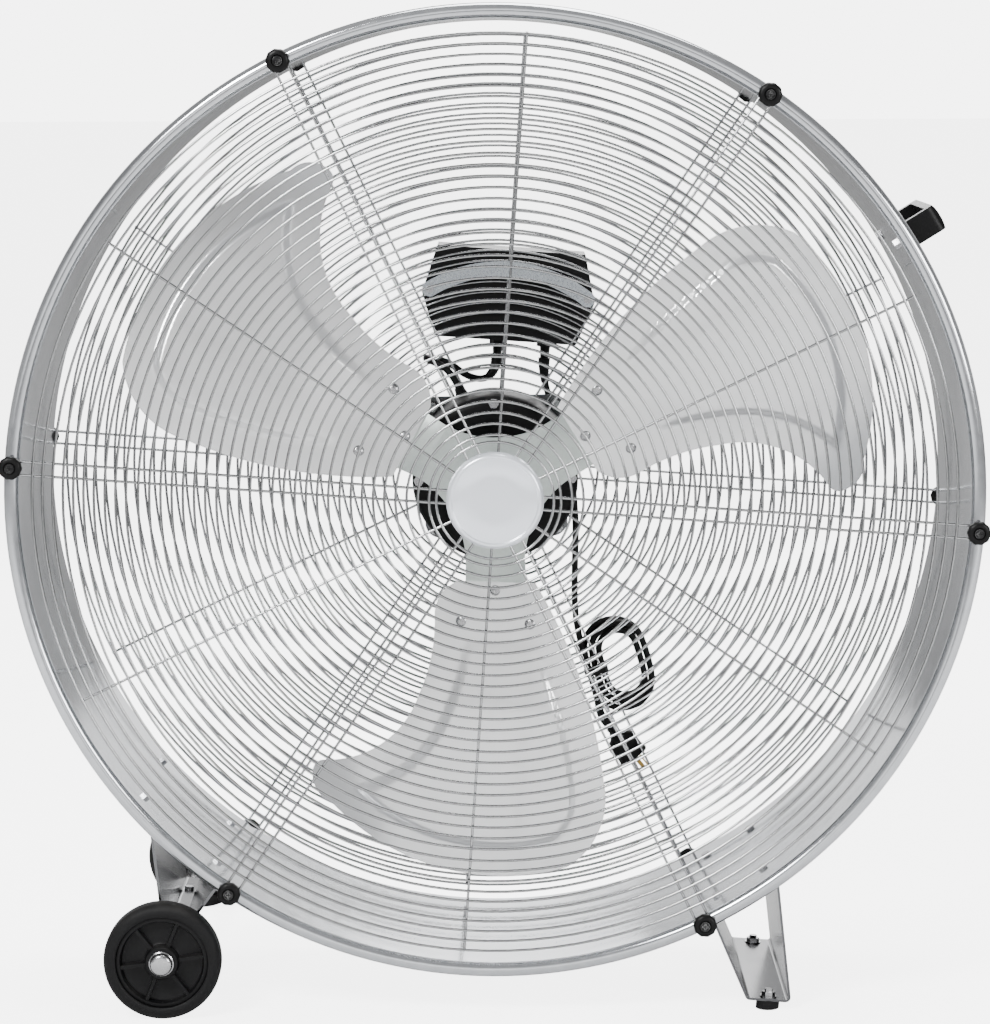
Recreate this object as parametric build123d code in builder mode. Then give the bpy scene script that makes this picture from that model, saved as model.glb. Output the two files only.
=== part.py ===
from build123d import *
from math import asin, atan, atan2, cos, degrees, dist, hypot, pi, radians, sin, sqrt, tan
import os

# Drum fan, in millimetres. Z is up, the fan blows towards -Y, and the fan stands on Z = 0.
# Places on the drum are given in the drum's own frame: x to the right and z up from its axis, and a
# depth that runs to the rear from the middle of the front bead. The drum leans over its wheels.

# Drum
bore_radius = 464.0
wall = 1.2
bead_size = 7.5
drum_length = 248.0
wall_radius = bore_radius + wall
bead_centre_radius = bore_radius + bead_size

# Grilles
wire = 2.8
first_ring_radius = 61.0
last_ring_radius = 453.0
ring_count = 7
ring_sides = 36
spoke_pairs = 6
spoke_pair_spacing = 13.0
hub_ring_radius = 38.0
clamp_radius = bead_centre_radius
front_seat = -bead_size
front_face = front_seat - wire
rear_seat = drum_length + bead_size
rear_face = rear_seat + wire

# Fasteners and fits
slip = 0.05
clearance = 0.2
gap = 0.3
small_screw = 2.0
bolt = 3.0
small_head = 1.5
screw_head = 2.0
bolt_head = 3.5
nut_height = 5.0
nut_size = 1.8
knob_radius = 11.7
knob_height = 9.0

# Hub cap
cap_radius = 47.6
cap_flat_radius = 42.0
cap_height = 7.7
cap_wall = 1.6

# Wheels and axle
wheel_radius = 58.4
wheel_width = 30.0
wheel_rim_radius = 46.0
wheel_web = 7.0
wheel_boss_radius = 17.0
axle_radius = 8.0
axle_cap_radius = 12.3
axle_cap_length = 8.3
axle_x = -297.7
axle_z = -481.4
front_wheel_depth = -22.0
rear_wheel_depth = drum_length + 166.0
collar_length = 8.0

# Feet under the right hand bracket
foot_x = 307.0
foot_height = 8.8
foot_radius = 11.7
foot_front_depth = 20.0
foot_rear_depth = drum_length - 23.0
bracket_sheet = 2.5
bracket_bend = 4.0
bracket_front_depth = 10.0
bracket_rear_depth = drum_length - 8.0
bracket_bolt_inset = 30.0
bracket_flange = 24.0
foot_floor_z = -488.0
foot_floor_left = 284.3
foot_floor_right = 329.4
foot_wall_left = -58.9
foot_wall_right = -49.3

# Wheel bracket on the left
wheel_floor_z = -462.0
wheel_floor_left = -300.2
wheel_floor_right = -281.4
wheel_wall_left = -133.5
wheel_wall_right = -121.4
saddle_length = 22.0
saddle_wall = 6.0
saddle_front_depth = 40.0
saddle_rear_depth = drum_length - 58.0

# The lean that puts the wheels and the feet on one floor, and the height of the drum's axis
foot_bottom_z = foot_floor_z - foot_height
stance_width = foot_x - axle_x
stance_drop = axle_z - foot_bottom_z
lean = asin(wheel_radius / hypot(stance_width, stance_drop)) - atan2(stance_drop, stance_width)
axis_height = foot_x * sin(lean) - foot_bottom_z * cos(lean)
front_end = front_wheel_depth - axle_cap_length
rear_end = rear_wheel_depth + wheel_width + axle_cap_length
depth_middle = (front_end + rear_end) / 2

# Sides of the round shapes that nothing runs in
round_sides = 32
small_round_sides = 16

# Motor
motor_radius = 85.0
motor_front = 150.0
motor_wall = 3.5
core_front = 176.0
core_rear = 229.0
core_bore_radius = 48.6
air_gap = 0.6
winding_outer_radius = 73.0
winding_inner_radius = 53.0
winding_overhang = 12.0
shaft_radius = 8.0
shaft_front = 78.0
shaft_rear = 250.0
bearing_radius = 16.0
bearing_width = 11.0
bearing_inset = 2.0
bearing_boss_wall = 5.0
shaft_opening = 1.5
tie_bolt_radius = 78.0
motor_bolt_circle = 91.5
motor_bolt_angle = 50.0
ear_radius = 8.5
ear_height = 6.0
mount_plate_sheet = 3.0
mount_plate_width = 150.0
mount_plate_corner = 16.0
tie_bolt_margin = 15.0
tie_boss_wall = 2.5

# Fan wheel
blade_count = 3
blade_radius = 399.0
blade_sheet = 1.5
blade_pitch = 16.0
blade_bow_radius = 600.0
blade_flat_half = 60.0
blade_depth = 86.0
blade_rest_angle = 30.0
panel_inset = 34.0
panel_start = 172.0
panel_rise = 3.0
spider_sheet = 3.0
spider_radius = 165.0
spider_scallop_radius = 102.0
spider_scallop_centre = 152.0
spider_flat_reach = 72.0
spider_tilt_reach = 95.0
hub_radius = 26.0
hub_rear = 128.0
hub_spigot_radius = 15.0
hub_spigot_length = 4.0
rivet_radius = 2.6
rivet_head_radius = 5.5
rivet_head_height = 2.0
rivet_places = [(104.0, 0.0), (137.0, 36.0), (137.0, -36.0)]

# Control box behind the rear grille
box_x = 1.5
box_top_z = 228.0
box_wide_z = 178.0
box_bottom_z = 133.0
box_top_half = 77.5
box_wide_half = 90.5
box_bottom_half = 74.0
box_depth = 62.0
box_wall = 2.5
box_screw_inset = 10.0
box_boss_wall = 3.0
cover_screw_grip = 12.0
strap_width = 16.0
strap_sheet = 2.0
strap_screw_half = 82.5
strap_screw_z = 182.2
strap_rise = 26.0
knob_x = 36.0
knob_z = 180.0
speed_knob_radius = 19.0
speed_knob_length = 17.0
speed_knob_stem = 3.0
cord_exit_x = 44.0
lead_exit_x = -6.0
exit_depth = 290.0
gland_wall = 2.0
gland_nut_height = 6.0
gland_length = 18.0

# Handle on the upper right
handle_angle = 35.8
handle_front_depth = 60.0
handle_rear_depth = 190.0
handle_reach = 516.0
handle_width = 26.5
handle_bar = 10.0
handle_foot = 16.0
handle_foot_sheet = 7.0
handle_crown = 2.5

# Power cord
cord_diameter = 7.0
lead_diameter = 7.4
hank_radius = 243.4
hank_spoke = -60.0
hank_turn = -10.0
hank_reach = 34.0
hank_pitch = 7.7
hank_layers = 2
hank_half_run = 15.0
hank_first_depth = rear_face + gap + cord_diameter / 2
tie_width = 6.0
tie_wall = 1.2
plug_length = 48.0
plug_neck_length = 18.0
plug_width = 34.0
plug_thickness = 24.0
pin_length = 18.0
pin_spacing = 12.7
flat_pin_width = 6.3
flat_pin_sheet = 1.6
flat_pin_offset = -4.0
earth_pin_radius = 2.4
earth_pin_offset = 7.0

drum_axis = Axis((0, 0, axis_height), (0, 1, 0))


def spot(x, z, depth):
    """World point of a place in the drum's frame."""
    along = x * cos(lean) + z * sin(lean)
    height = axis_height - x * sin(lean) + z * cos(lean)
    return Vector(along, depth - depth_middle, height)


def around(radius, angle):
    """Drum frame x and z of a place at a radius and an angle from the drum's x."""
    return (radius * cos(radians(angle)), radius * sin(radians(angle)))


def face_plane(depth, angle=0.0):
    """Seen from the front: x runs out at the angle, y runs anticlockwise, z comes forward."""
    turn = radians(angle) - lean
    return Plane(origin=spot(0, 0, depth), x_dir=(cos(turn), 0, sin(turn)), z_dir=(0, -1, 0))


def section_plane(angle=0.0):
    """A cut through the drum's axis: x runs out at the angle and y is the depth."""
    turn = radians(angle) - lean
    return Plane(origin=spot(0, 0, 0), x_dir=(cos(turn), 0, sin(turn)), z_dir=(-sin(turn), 0, cos(turn)))


def upright_plane(x, z, depth):
    """A level of the drum's frame: x to the right, y to the rear, z up."""
    return Plane(origin=spot(x, z, depth), x_dir=(cos(lean), 0, -sin(lean)), z_dir=(sin(lean), 0, cos(lean)))


def wall_plane(radius, angle, depth):
    """On the drum's wall: z runs out from the axis and x runs to the rear."""
    turn = radians(angle) - lean
    x, z = around(radius, angle)
    return Plane(origin=spot(x, z, depth), x_dir=(0, 1, 0), z_dir=(cos(turn), 0, sin(turn)))


def blade_plane(angle):
    """Along a blade: x is the way round, y is the depth and the blade runs out along -z."""
    turn = radians(angle) - lean
    return Plane(origin=spot(0, 0, 0), x_dir=(-sin(turn), 0, cos(turn)), z_dir=(-cos(turn), 0, -sin(turn)))


def pitched_plane(angle, pitch=blade_pitch):
    """The rear face of a blade's root: its anticlockwise side is turned forward by the pitch."""
    flat = face_plane(blade_depth, angle)
    tilt = radians(pitch)
    return Plane(origin=flat.origin, x_dir=flat.x_dir, z_dir=flat.z_dir * cos(tilt) - flat.y_dir * sin(tilt))


def finish(name, part):
    part.label = name
    export_step(part, f"parts/{name}.step")


def bolts(plane, places, size, head, reach, head_size=nut_size):
    """Hexagon heads on a plane with plain shanks below it. Threads are left plain."""
    with BuildPart() as group:
        with BuildSketch(plane):
            with Locations(*places):
                RegularPolygon(size * head_size, 6)
        extrude(amount=head)
        with BuildSketch(plane):
            with Locations(*places):
                RegularPolygon(size, 8)
        extrude(amount=-reach)
    return group.part


def holes(plane, places, size, reach):
    """Eight sided clearance holes for the shanks of bolts, cut from a plane both ways."""
    with BuildPart() as group:
        with BuildSketch(plane):
            with Locations(*places):
                RegularPolygon(size + clearance, 8)
        extrude(amount=reach, both=True)
    return group.part


def join(*parts):
    """One node made of the solids of several parts."""
    with BuildPart() as group:
        for part in parts:
            add(part)
    return group.part


os.makedirs("parts", exist_ok=True)


# Places of the fasteners in the drum's wall
handle_screw_inset = handle_foot / 2
handle_screw_depths = [
    handle_front_depth - handle_screw_inset,
    handle_rear_depth + handle_screw_inset,
]
flange_turn = degrees(bracket_flange / 2 / wall_radius)
bracket_bolt_depths = [
    bracket_front_depth + bracket_bolt_inset,
    bracket_rear_depth - bracket_bolt_inset,
]
foot_bolt_angles = [foot_wall_left + flange_turn, foot_wall_right - flange_turn]
wheel_bolt_angles = [wheel_wall_left - flange_turn, wheel_wall_right - flange_turn]


def wall_holes(angles, depths, size):
    """Clearance holes through the drum's wall and what lies on it."""
    parts = []
    for angle in angles:
        for depth in depths:
            plane = wall_plane(wall_radius, angle, depth)
            parts.append(holes(plane, [(0, 0)], size, bracket_bend * 2))
    return join(*parts)


# Drum: a thin rolled wall with a bead round each end
clamp_angles = [360 / spoke_pairs * i for i in range(spoke_pairs)]
clamp_places = [around(clamp_radius, angle) for angle in clamp_angles]
with BuildPart() as drum_shell:
    with BuildSketch(section_plane()):
        with Locations(((bore_radius + wall_radius) / 2, drum_length / 2)):
            Rectangle(wall, drum_length)
        with Locations((bead_centre_radius, 0), (bead_centre_radius, drum_length)):
            RegularPolygon(bead_size, 8, major_radius=False, rotation=22.5)
    revolve(axis=drum_axis)
    add(holes(face_plane(0), clamp_places, small_screw, 2 * bead_size), mode=Mode.SUBTRACT)
    add(holes(face_plane(drum_length), clamp_places, small_screw, 2 * bead_size), mode=Mode.SUBTRACT)
    add(wall_holes([handle_angle], handle_screw_depths, bolt), mode=Mode.SUBTRACT)
    add(wall_holes(foot_bolt_angles, bracket_bolt_depths, bolt), mode=Mode.SUBTRACT)
    add(wall_holes(wheel_bolt_angles, bracket_bolt_depths, bolt), mode=Mode.SUBTRACT)
finish("drum_shell", drum_shell.part)


# Grilles: rings crossed by pairs of spokes, looped round the clamp screws, and by single spokes
def grille(seat, first_radius, toward):
    """Spokes against a seat and rings on their face. Toward is where the spokes lie from the seat."""
    pitch = (last_ring_radius - first_ring_radius) / (ring_count - 1)
    reach = clamp_radius - hub_ring_radius
    with BuildPart() as spokes:
        with BuildSketch(face_plane(seat)):
            with PolarLocations((clamp_radius + hub_ring_radius) / 2, spoke_pairs):
                Rectangle(reach + spoke_pair_spacing + wire, spoke_pair_spacing + wire)
                Rectangle(
                    reach + spoke_pair_spacing - wire,
                    spoke_pair_spacing - wire,
                    mode=Mode.SUBTRACT,
                )
            with PolarLocations((last_ring_radius + hub_ring_radius) / 2, spoke_pairs, 180 / spoke_pairs):
                Rectangle(last_ring_radius - hub_ring_radius, wire)
        extrude(amount=-toward * wire)
    with BuildPart() as rings:
        with BuildSketch(face_plane(min(seat, seat + toward * wire))):
            for i in range(ring_count):
                radius = last_ring_radius - pitch * i
                if radius > first_radius:
                    RegularPolygon(radius + wire / 2, ring_sides)
                    RegularPolygon(radius - wire / 2, ring_sides, mode=Mode.SUBTRACT)
        extrude(amount=wire)
    return spokes.part, rings.part


def one_node(*parts):
    """Separate solids that touch, kept as one node."""
    return Compound(children=[solid for part in parts for solid in part.solids()])


finish("front_grille", one_node(*grille(front_seat, 0, -1)))
finish("rear_grille", one_node(*grille(rear_seat, motor_bolt_circle + ear_radius, 1)))


# Clamp knobs and their screws on both grilles
def clamp_knobs(plane):
    with BuildPart() as knobs:
        with BuildSketch(plane):
            with Locations(*clamp_places):
                RegularPolygon(knob_radius, small_round_sides)
                RegularPolygon(small_screw + clearance, 8, mode=Mode.SUBTRACT)
        extrude(amount=knob_height)
    return knobs.part


def mirrored(places):
    return [(-x, z) for x, z in places]


rear_plane = Plane(origin=spot(0, 0, rear_face), x_dir=(-cos(lean), 0, sin(lean)), z_dir=(0, 1, 0))
rear_knob_plane = rear_plane.offset(knob_height)
screw_reach = knob_height + wire + 2 * bead_size
finish("front_knobs", clamp_knobs(face_plane(front_face)))
finish("rear_knobs", clamp_knobs(rear_plane))
front_screws = bolts(face_plane(front_face - knob_height), clamp_places, small_screw, small_head, screw_reach)
finish("front_grille_screws", front_screws)
rear_screws = bolts(rear_knob_plane, mirrored(clamp_places), small_screw, small_head, screw_reach)
finish("rear_grille_screws", rear_screws)


# Hub cap: a shallow dish over the middle of the front grille
cap_taper = degrees(atan((cap_radius - cap_flat_radius) / cap_height))
with BuildPart() as hub_cap:
    with BuildSketch(face_plane(front_face)):
        RegularPolygon(cap_radius, round_sides)
    extrude(amount=cap_height, taper=cap_taper)
    with BuildSketch(face_plane(front_face)):
        RegularPolygon(cap_radius - cap_wall, round_sides)
    extrude(amount=cap_height - cap_wall, taper=cap_taper, mode=Mode.SUBTRACT)
finish("hub_cap", hub_cap.part)


# Motor, bolted through the rear grille to a plate
motor_bolt_angles = [motor_bolt_angle + 90 * i for i in range(4)]
motor_bolt_places = [around(motor_bolt_circle, angle) for angle in motor_bolt_angles]
tie_bolt_places = [around(tie_bolt_radius, angle + 45) for angle in motor_bolt_angles]
plate_rear = rear_face + mount_plate_sheet
plate_rear_plane = rear_plane.offset(mount_plate_sheet)
with BuildPart() as motor_mount_plate:
    with BuildSketch(face_plane(rear_face, motor_bolt_angle - 45)):
        RectangleRounded(mount_plate_width, mount_plate_width, mount_plate_corner)
        RegularPolygon(hub_radius, small_round_sides, mode=Mode.SUBTRACT)
    extrude(amount=-mount_plate_sheet)
    add(holes(face_plane(plate_rear), motor_bolt_places, bolt, 2 * mount_plate_sheet), mode=Mode.SUBTRACT)
finish("motor_mount_plate", motor_mount_plate.part)

ear_front = rear_seat - ear_height
ear_plane = face_plane(ear_front)
motor_bolt_reach = plate_rear - ear_front + nut_height + bolt
motor_bolts = bolts(ear_plane, motor_bolt_places, bolt, bolt_head, motor_bolt_reach)
with BuildPart() as motor_nuts:
    with BuildSketch(plate_rear_plane):
        with Locations(*mirrored(motor_bolt_places)):
            RegularPolygon(bolt * nut_size, 6)
    extrude(amount=nut_height)
finish("motor_mount_bolts", join(motor_bolts, motor_nuts.part))


def motor_cover(end, inner, toward):
    """A cast cover: end face, outer wall and bearing boss. Toward is 1 where it opens to the rear."""
    boss_reach = bearing_inset + bearing_width
    pocket = face_plane(end + toward * bearing_inset)
    with BuildPart() as cover:
        with BuildSketch(face_plane(end)):
            RegularPolygon(motor_radius, round_sides)
        extrude(amount=end - inner)
        with BuildSketch(face_plane(end + toward * motor_wall)):
            RegularPolygon(motor_radius - motor_wall, round_sides)
        extrude(amount=end - inner, mode=Mode.SUBTRACT)
        with BuildSketch(face_plane(end)):
            RegularPolygon(bearing_radius + bearing_boss_wall, round_sides)
        extrude(amount=-toward * boss_reach)
        with BuildSketch(pocket):
            RegularPolygon(bearing_radius + slip, round_sides)
        extrude(amount=-toward * bearing_width, mode=Mode.SUBTRACT)
        with BuildSketch(face_plane(end)):
            RegularPolygon(shaft_radius + shaft_opening, small_round_sides)
        extrude(amount=-toward * boss_reach, mode=Mode.SUBTRACT)
    return cover.part


def tie_bosses(depth, reach):
    """Bosses for the tie bolts inside a motor cover."""
    with BuildPart() as bosses:
        with BuildSketch(face_plane(depth)):
            with Locations(*tie_bolt_places):
                RegularPolygon(bolt + tie_boss_wall, 8)
        extrude(amount=-reach)
    return bosses.part


cover_shift = motor_wall - 0.5
with BuildPart() as motor_front_cover:
    add(motor_cover(motor_front, core_front, 1))
    add(tie_bosses(motor_front + cover_shift, core_front - motor_front - cover_shift))
    add(holes(face_plane(core_front), tie_bolt_places, bolt, 2 * core_front), mode=Mode.SUBTRACT)
finish("motor_front_cover", motor_front_cover.part)

with BuildPart() as motor_rear_cover:
    add(motor_cover(rear_seat, core_rear, -1))
    add(tie_bosses(core_rear, rear_seat - cover_shift - core_rear))
    with BuildSketch(face_plane(ear_front)):
        with Locations(*motor_bolt_places):
            RegularPolygon(ear_radius, small_round_sides)
        RegularPolygon(motor_radius - motor_wall, round_sides, mode=Mode.SUBTRACT)
    extrude(amount=-ear_height)
    add(holes(face_plane(core_rear), tie_bolt_places, bolt, tie_bolt_margin + 1), mode=Mode.SUBTRACT)
    add(holes(ear_plane, motor_bolt_places, bolt, 2 * ear_height), mode=Mode.SUBTRACT)
finish("motor_rear_cover", motor_rear_cover.part)

core_length = core_rear - core_front
with BuildPart() as stator_core:
    with BuildSketch(face_plane(core_front)):
        RegularPolygon(motor_radius, round_sides)
        RegularPolygon(core_bore_radius, round_sides, mode=Mode.SUBTRACT)
    extrude(amount=-core_length)
    add(holes(face_plane(core_front), tie_bolt_places, bolt, 2 * core_length), mode=Mode.SUBTRACT)
finish("stator_core", stator_core.part)

with BuildPart() as stator_windings:
    for depth in (core_front - winding_overhang, core_rear):
        with BuildSketch(face_plane(depth)):
            RegularPolygon(winding_outer_radius, 24)
            RegularPolygon(winding_inner_radius, 24, mode=Mode.SUBTRACT)
        extrude(amount=-winding_overhang)
finish("stator_windings", stator_windings.part)

tie_reach = core_rear + tie_bolt_margin - motor_front
finish("motor_tie_bolts", bolts(face_plane(motor_front), tie_bolt_places, bolt, bolt_head, tie_reach))


def bearing(depth):
    with BuildPart() as ring:
        with BuildSketch(face_plane(depth)):
            RegularPolygon(bearing_radius, round_sides)
            Circle(shaft_radius + slip, mode=Mode.SUBTRACT)
        extrude(amount=-bearing_width)
    return ring.part


rear_bearing_depth = rear_seat - bearing_inset - bearing_width
finish("bearings", join(bearing(motor_front + bearing_inset), bearing(rear_bearing_depth)))

with BuildPart() as motor_shaft:
    with BuildSketch(face_plane(shaft_front)):
        Circle(shaft_radius)
    extrude(amount=shaft_front - shaft_rear)
finish("motor_shaft", motor_shaft.part)

with BuildPart() as motor_rotor:
    with BuildSketch(face_plane(core_front)):
        RegularPolygon(core_bore_radius - air_gap, round_sides)
        RegularPolygon(shaft_radius + slip, round_sides, major_radius=False, mode=Mode.SUBTRACT)
    extrude(amount=-core_length)
finish("motor_rotor", motor_rotor.part)


# Fan wheel: a pressed spider with three tilted arms, a hub, and three pressed blades
blade_angles = [blade_rest_angle + degrees(lean) + 360 / blade_count * i for i in range(blade_count)]


def spider_outline():
    Circle(spider_radius)
    with PolarLocations(spider_scallop_centre, blade_count, 180 / blade_count):
        Circle(spider_scallop_radius, mode=Mode.SUBTRACT)


def neck_width(reach):
    """Width of an arm, between two scallops, at a distance from the axis."""
    across = spider_scallop_centre * sin(pi / blade_count)
    along = spider_scallop_centre * cos(pi / blade_count)
    return 2 * (across - sqrt(spider_scallop_radius**2 - (reach - along) ** 2))


def neck_plane(angle, reach, pitch):
    """A cut across an arm: x along the arm's width, y forward through its thickness."""
    plane = pitched_plane(angle, pitch)
    origin = plane.from_local_coords((reach, 0, -spider_sheet / 2))
    return Plane(origin=origin, x_dir=plane.y_dir, z_dir=plane.x_dir)


def spider_neck(angle):
    with BuildPart() as neck:
        with BuildSketch(neck_plane(angle, spider_flat_reach, 0)):
            Rectangle(neck_width(spider_flat_reach), spider_sheet)
        with BuildSketch(neck_plane(angle, spider_tilt_reach, blade_pitch)):
            Rectangle(neck_width(spider_tilt_reach), spider_sheet)
        loft(ruled=True)
    return neck.part


def spider_arm(angle):
    arm_length = spider_radius - spider_tilt_reach
    with BuildPart() as arm:
        with BuildSketch(pitched_plane(angle)):
            spider_outline()
            with Locations((spider_tilt_reach + arm_length / 2, 0)):
                Rectangle(arm_length, 2 * spider_radius, mode=Mode.INTERSECT)
        extrude(amount=-spider_sheet)
        add(holes(pitched_plane(angle), rivet_places, rivet_radius, spider_radius), mode=Mode.SUBTRACT)
    return arm.part


with BuildPart() as fan_spider:
    with BuildSketch(face_plane(blade_depth, blade_angles[0])):
        spider_outline()
        RegularPolygon(spider_flat_reach, 3, major_radius=False, rotation=60, mode=Mode.INTERSECT)
        RegularPolygon(hub_spigot_radius + clearance, round_sides, mode=Mode.SUBTRACT)
    extrude(amount=-spider_sheet)
    for angle in blade_angles:
        add(spider_neck(angle))
        add(spider_arm(angle))
finish("fan_spider", fan_spider.part)

spigot_front = blade_depth - hub_spigot_length
hub_front = blade_depth + spider_sheet
set_screw_depth = (hub_front + hub_rear) / 2
set_screw_plane = wall_plane(hub_radius, blade_angles[0] + 60, set_screw_depth)
with BuildPart() as fan_hub:
    with BuildSketch(face_plane(spigot_front)):
        RegularPolygon(hub_spigot_radius, round_sides)
    extrude(amount=spigot_front - hub_front)
    with BuildSketch(face_plane(hub_front)):
        RegularPolygon(hub_radius, round_sides)
    extrude(amount=hub_front - hub_rear)
    with BuildSketch(face_plane(spigot_front)):
        Circle(shaft_radius + slip)
    extrude(amount=spigot_front - hub_rear, mode=Mode.SUBTRACT)
    with BuildSketch(set_screw_plane):
        RegularPolygon(bolt + clearance, 8)
    extrude(amount=-hub_radius, mode=Mode.SUBTRACT)
finish("fan_hub", fan_hub.part)

with BuildPart() as hub_set_screw:
    with BuildSketch(set_screw_plane.offset(1)):
        RegularPolygon(bolt, 8)
    extrude(amount=shaft_radius + gap - hub_radius - 1)
finish("hub_set_screw", hub_set_screw.part)


def blade_point(out, across):
    """A point of the blade's outline, as shares of the blade's reach."""
    return (out * blade_radius, across * blade_radius)


def blade_outline():
    """Flat outline of a blade: a narrow root, a broad sweep and a hooked leading tip."""
    root_trailing = blade_point(0.238, 0.100)
    root_leading = blade_point(0.241, -0.095)
    shoulder = blade_point(0.737, 0.271)
    outer_corner = blade_point(0.962, 0.180)
    outer_low = blade_point(0.840, -0.426)
    tip = blade_point(0.764, -0.476)
    inner_tip = blade_point(0.729, -0.446)
    belly = blade_point(0.534, -0.195)
    waist = blade_point(0.326, -0.155)
    with BuildLine() as outline:
        Line(root_leading, root_trailing)
        ThreePointArc(root_trailing, blade_point(0.451, 0.203), shoulder)
        ThreePointArc(shoulder, blade_point(0.872, 0.256), outer_corner)
        ThreePointArc(outer_corner, blade_point(0.998, -0.023), outer_low)
        ThreePointArc(outer_low, blade_point(0.810, -0.466), tip)
        ThreePointArc(tip, blade_point(0.742, -0.469), inner_tip)
        ThreePointArc(inner_tip, blade_point(0.672, -0.293), belly)
        ThreePointArc(belly, blade_point(0.414, -0.160), waist)
        ThreePointArc(waist, blade_point(0.276, -0.138), root_leading)
    make_face(outline.edges())


def blade_band(angle, front, rear):
    """A bent sheet seen end on, between two distances in front of the blade's rear face."""
    fall = blade_flat_half * tan(radians(blade_pitch))
    with BuildPart() as band:
        with BuildSketch(blade_plane(angle)):
            with BuildLine():
                middle = Line((-blade_flat_half, blade_depth + fall), (blade_flat_half, blade_depth - fall))
                JernArc(middle @ 1, middle % 1, blade_bow_radius, 7)
                JernArc(middle @ 0, (middle % 0) * -1, blade_bow_radius, 15)
                offset(amount=front, side=Side.RIGHT)
            make_face()
            if rear > 0:
                with BuildLine():
                    again = Line((-blade_flat_half, blade_depth + fall), (blade_flat_half, blade_depth - fall))
                    JernArc(again @ 1, again % 1, blade_bow_radius, 7)
                    JernArc(again @ 0, (again % 0) * -1, blade_bow_radius, 15)
                    offset(amount=rear, side=Side.RIGHT)
                make_face(mode=Mode.SUBTRACT)
        extrude(amount=-blade_radius * 1.05)
    return band.part


def panel_outline(inset):
    """The raised middle of a blade, inside its outline and outside its root."""
    blade_outline()
    offset(amount=-inset, mode=Mode.REPLACE)
    with Locations((panel_start + inset - panel_inset + blade_radius / 2, 0)):
        Rectangle(blade_radius, 2 * blade_radius, mode=Mode.INTERSECT)


def raised_panel(angle, inset, front):
    with BuildPart() as panel:
        add(blade_band(angle, front, 0))
        with BuildSketch(face_plane(0, angle)):
            panel_outline(inset)
        extrude(amount=-drum_length, mode=Mode.INTERSECT)
    return panel.part


def blade(angle):
    with BuildPart() as sheet:
        add(blade_band(angle, blade_sheet, 0))
        with BuildSketch(face_plane(0, angle)):
            blade_outline()
        extrude(amount=-drum_length, mode=Mode.INTERSECT)
        add(raised_panel(angle, panel_inset, blade_sheet + panel_rise))
        add(raised_panel(angle, panel_inset + blade_sheet, panel_rise), mode=Mode.SUBTRACT)
        add(holes(pitched_plane(angle), rivet_places, rivet_radius, 4), mode=Mode.SUBTRACT)
    return sheet.part


first_blade = blade(blade_angles[0])
for number in range(blade_count):
    finish(f"blade_{number + 1}", first_blade.rotate(drum_axis, -360 / blade_count * number))


def rivet_set(angle):
    """Rivets through a blade's root and its arm, with a head on each side."""
    plane = pitched_plane(angle)
    stack = blade_sheet + spider_sheet
    with BuildPart() as rivets:
        with BuildSketch(plane.offset(blade_sheet)):
            with Locations(*rivet_places):
                RegularPolygon(rivet_head_radius, 12)
        extrude(amount=rivet_head_height, taper=40)
        with BuildSketch(plane.offset(blade_sheet)):
            with Locations(*rivet_places):
                RegularPolygon(rivet_radius, 8)
        extrude(amount=-stack)
        with BuildSketch(plane.offset(-spider_sheet)):
            with Locations(*rivet_places):
                RegularPolygon(rivet_radius + 2, 8)
        extrude(amount=-rivet_head_height)
    return rivets.part


finish("blade_rivets", join(*[rivet_set(angle) for angle in blade_angles]))


# Control box behind the rear grille, with its strap in front of the grille
def box_outline():
    with BuildLine() as outline:
        Polyline(
            (box_x - box_bottom_half, box_bottom_z),
            (box_x + box_bottom_half, box_bottom_z),
            (box_x + box_wide_half, box_wide_z),
            (box_x + box_top_half, box_top_z),
            (box_x - box_top_half, box_top_z),
            (box_x - box_wide_half, box_wide_z),
            close=True,
        )
    make_face(outline.edges())


box_rear = rear_face + box_depth
strap_screws_at = [(box_x - strap_screw_half, strap_screw_z), (box_x + strap_screw_half, strap_screw_z)]
cover_screws_at = [
    (box_x - box_top_half + box_screw_inset, box_top_z - box_screw_inset),
    (box_x + box_top_half - box_screw_inset, box_top_z - box_screw_inset),
    (box_x + box_bottom_half - box_screw_inset, box_bottom_z + box_screw_inset),
    (box_x - box_bottom_half + box_screw_inset, box_bottom_z + box_screw_inset),
]
boss_size = small_screw + box_boss_wall
lead_exit = upright_plane(lead_exit_x, box_bottom_z, exit_depth)
cord_exit = upright_plane(cord_exit_x, box_bottom_z, exit_depth)
with BuildPart() as control_box:
    with BuildSketch(face_plane(rear_face)):
        box_outline()
    extrude(amount=-box_depth)
    with BuildSketch(face_plane(rear_face + box_wall)):
        box_outline()
        offset(amount=-box_wall, mode=Mode.REPLACE)
    extrude(amount=-box_depth, mode=Mode.SUBTRACT)
    with BuildSketch(face_plane(rear_face)):
        with Locations(*strap_screws_at):
            RegularPolygon(boss_size, 8)
    extrude(amount=-4 * box_wall)
    with BuildSketch(face_plane(rear_face)):
        with Locations(*cover_screws_at):
            RegularPolygon(boss_size, 8)
    extrude(amount=-box_depth)
    add(holes(face_plane(rear_face), strap_screws_at, small_screw, 3 * box_wall), mode=Mode.SUBTRACT)
    add(holes(face_plane(box_rear), cover_screws_at, small_screw, cover_screw_grip + 4), mode=Mode.SUBTRACT)
    for plane in (lead_exit, cord_exit):
        with BuildSketch(plane):
            RegularPolygon(cord_diameter / 2 + gland_wall + clearance, 8)
        extrude(amount=2 * box_wall, mode=Mode.SUBTRACT)
finish("control_box", control_box.part)

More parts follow.
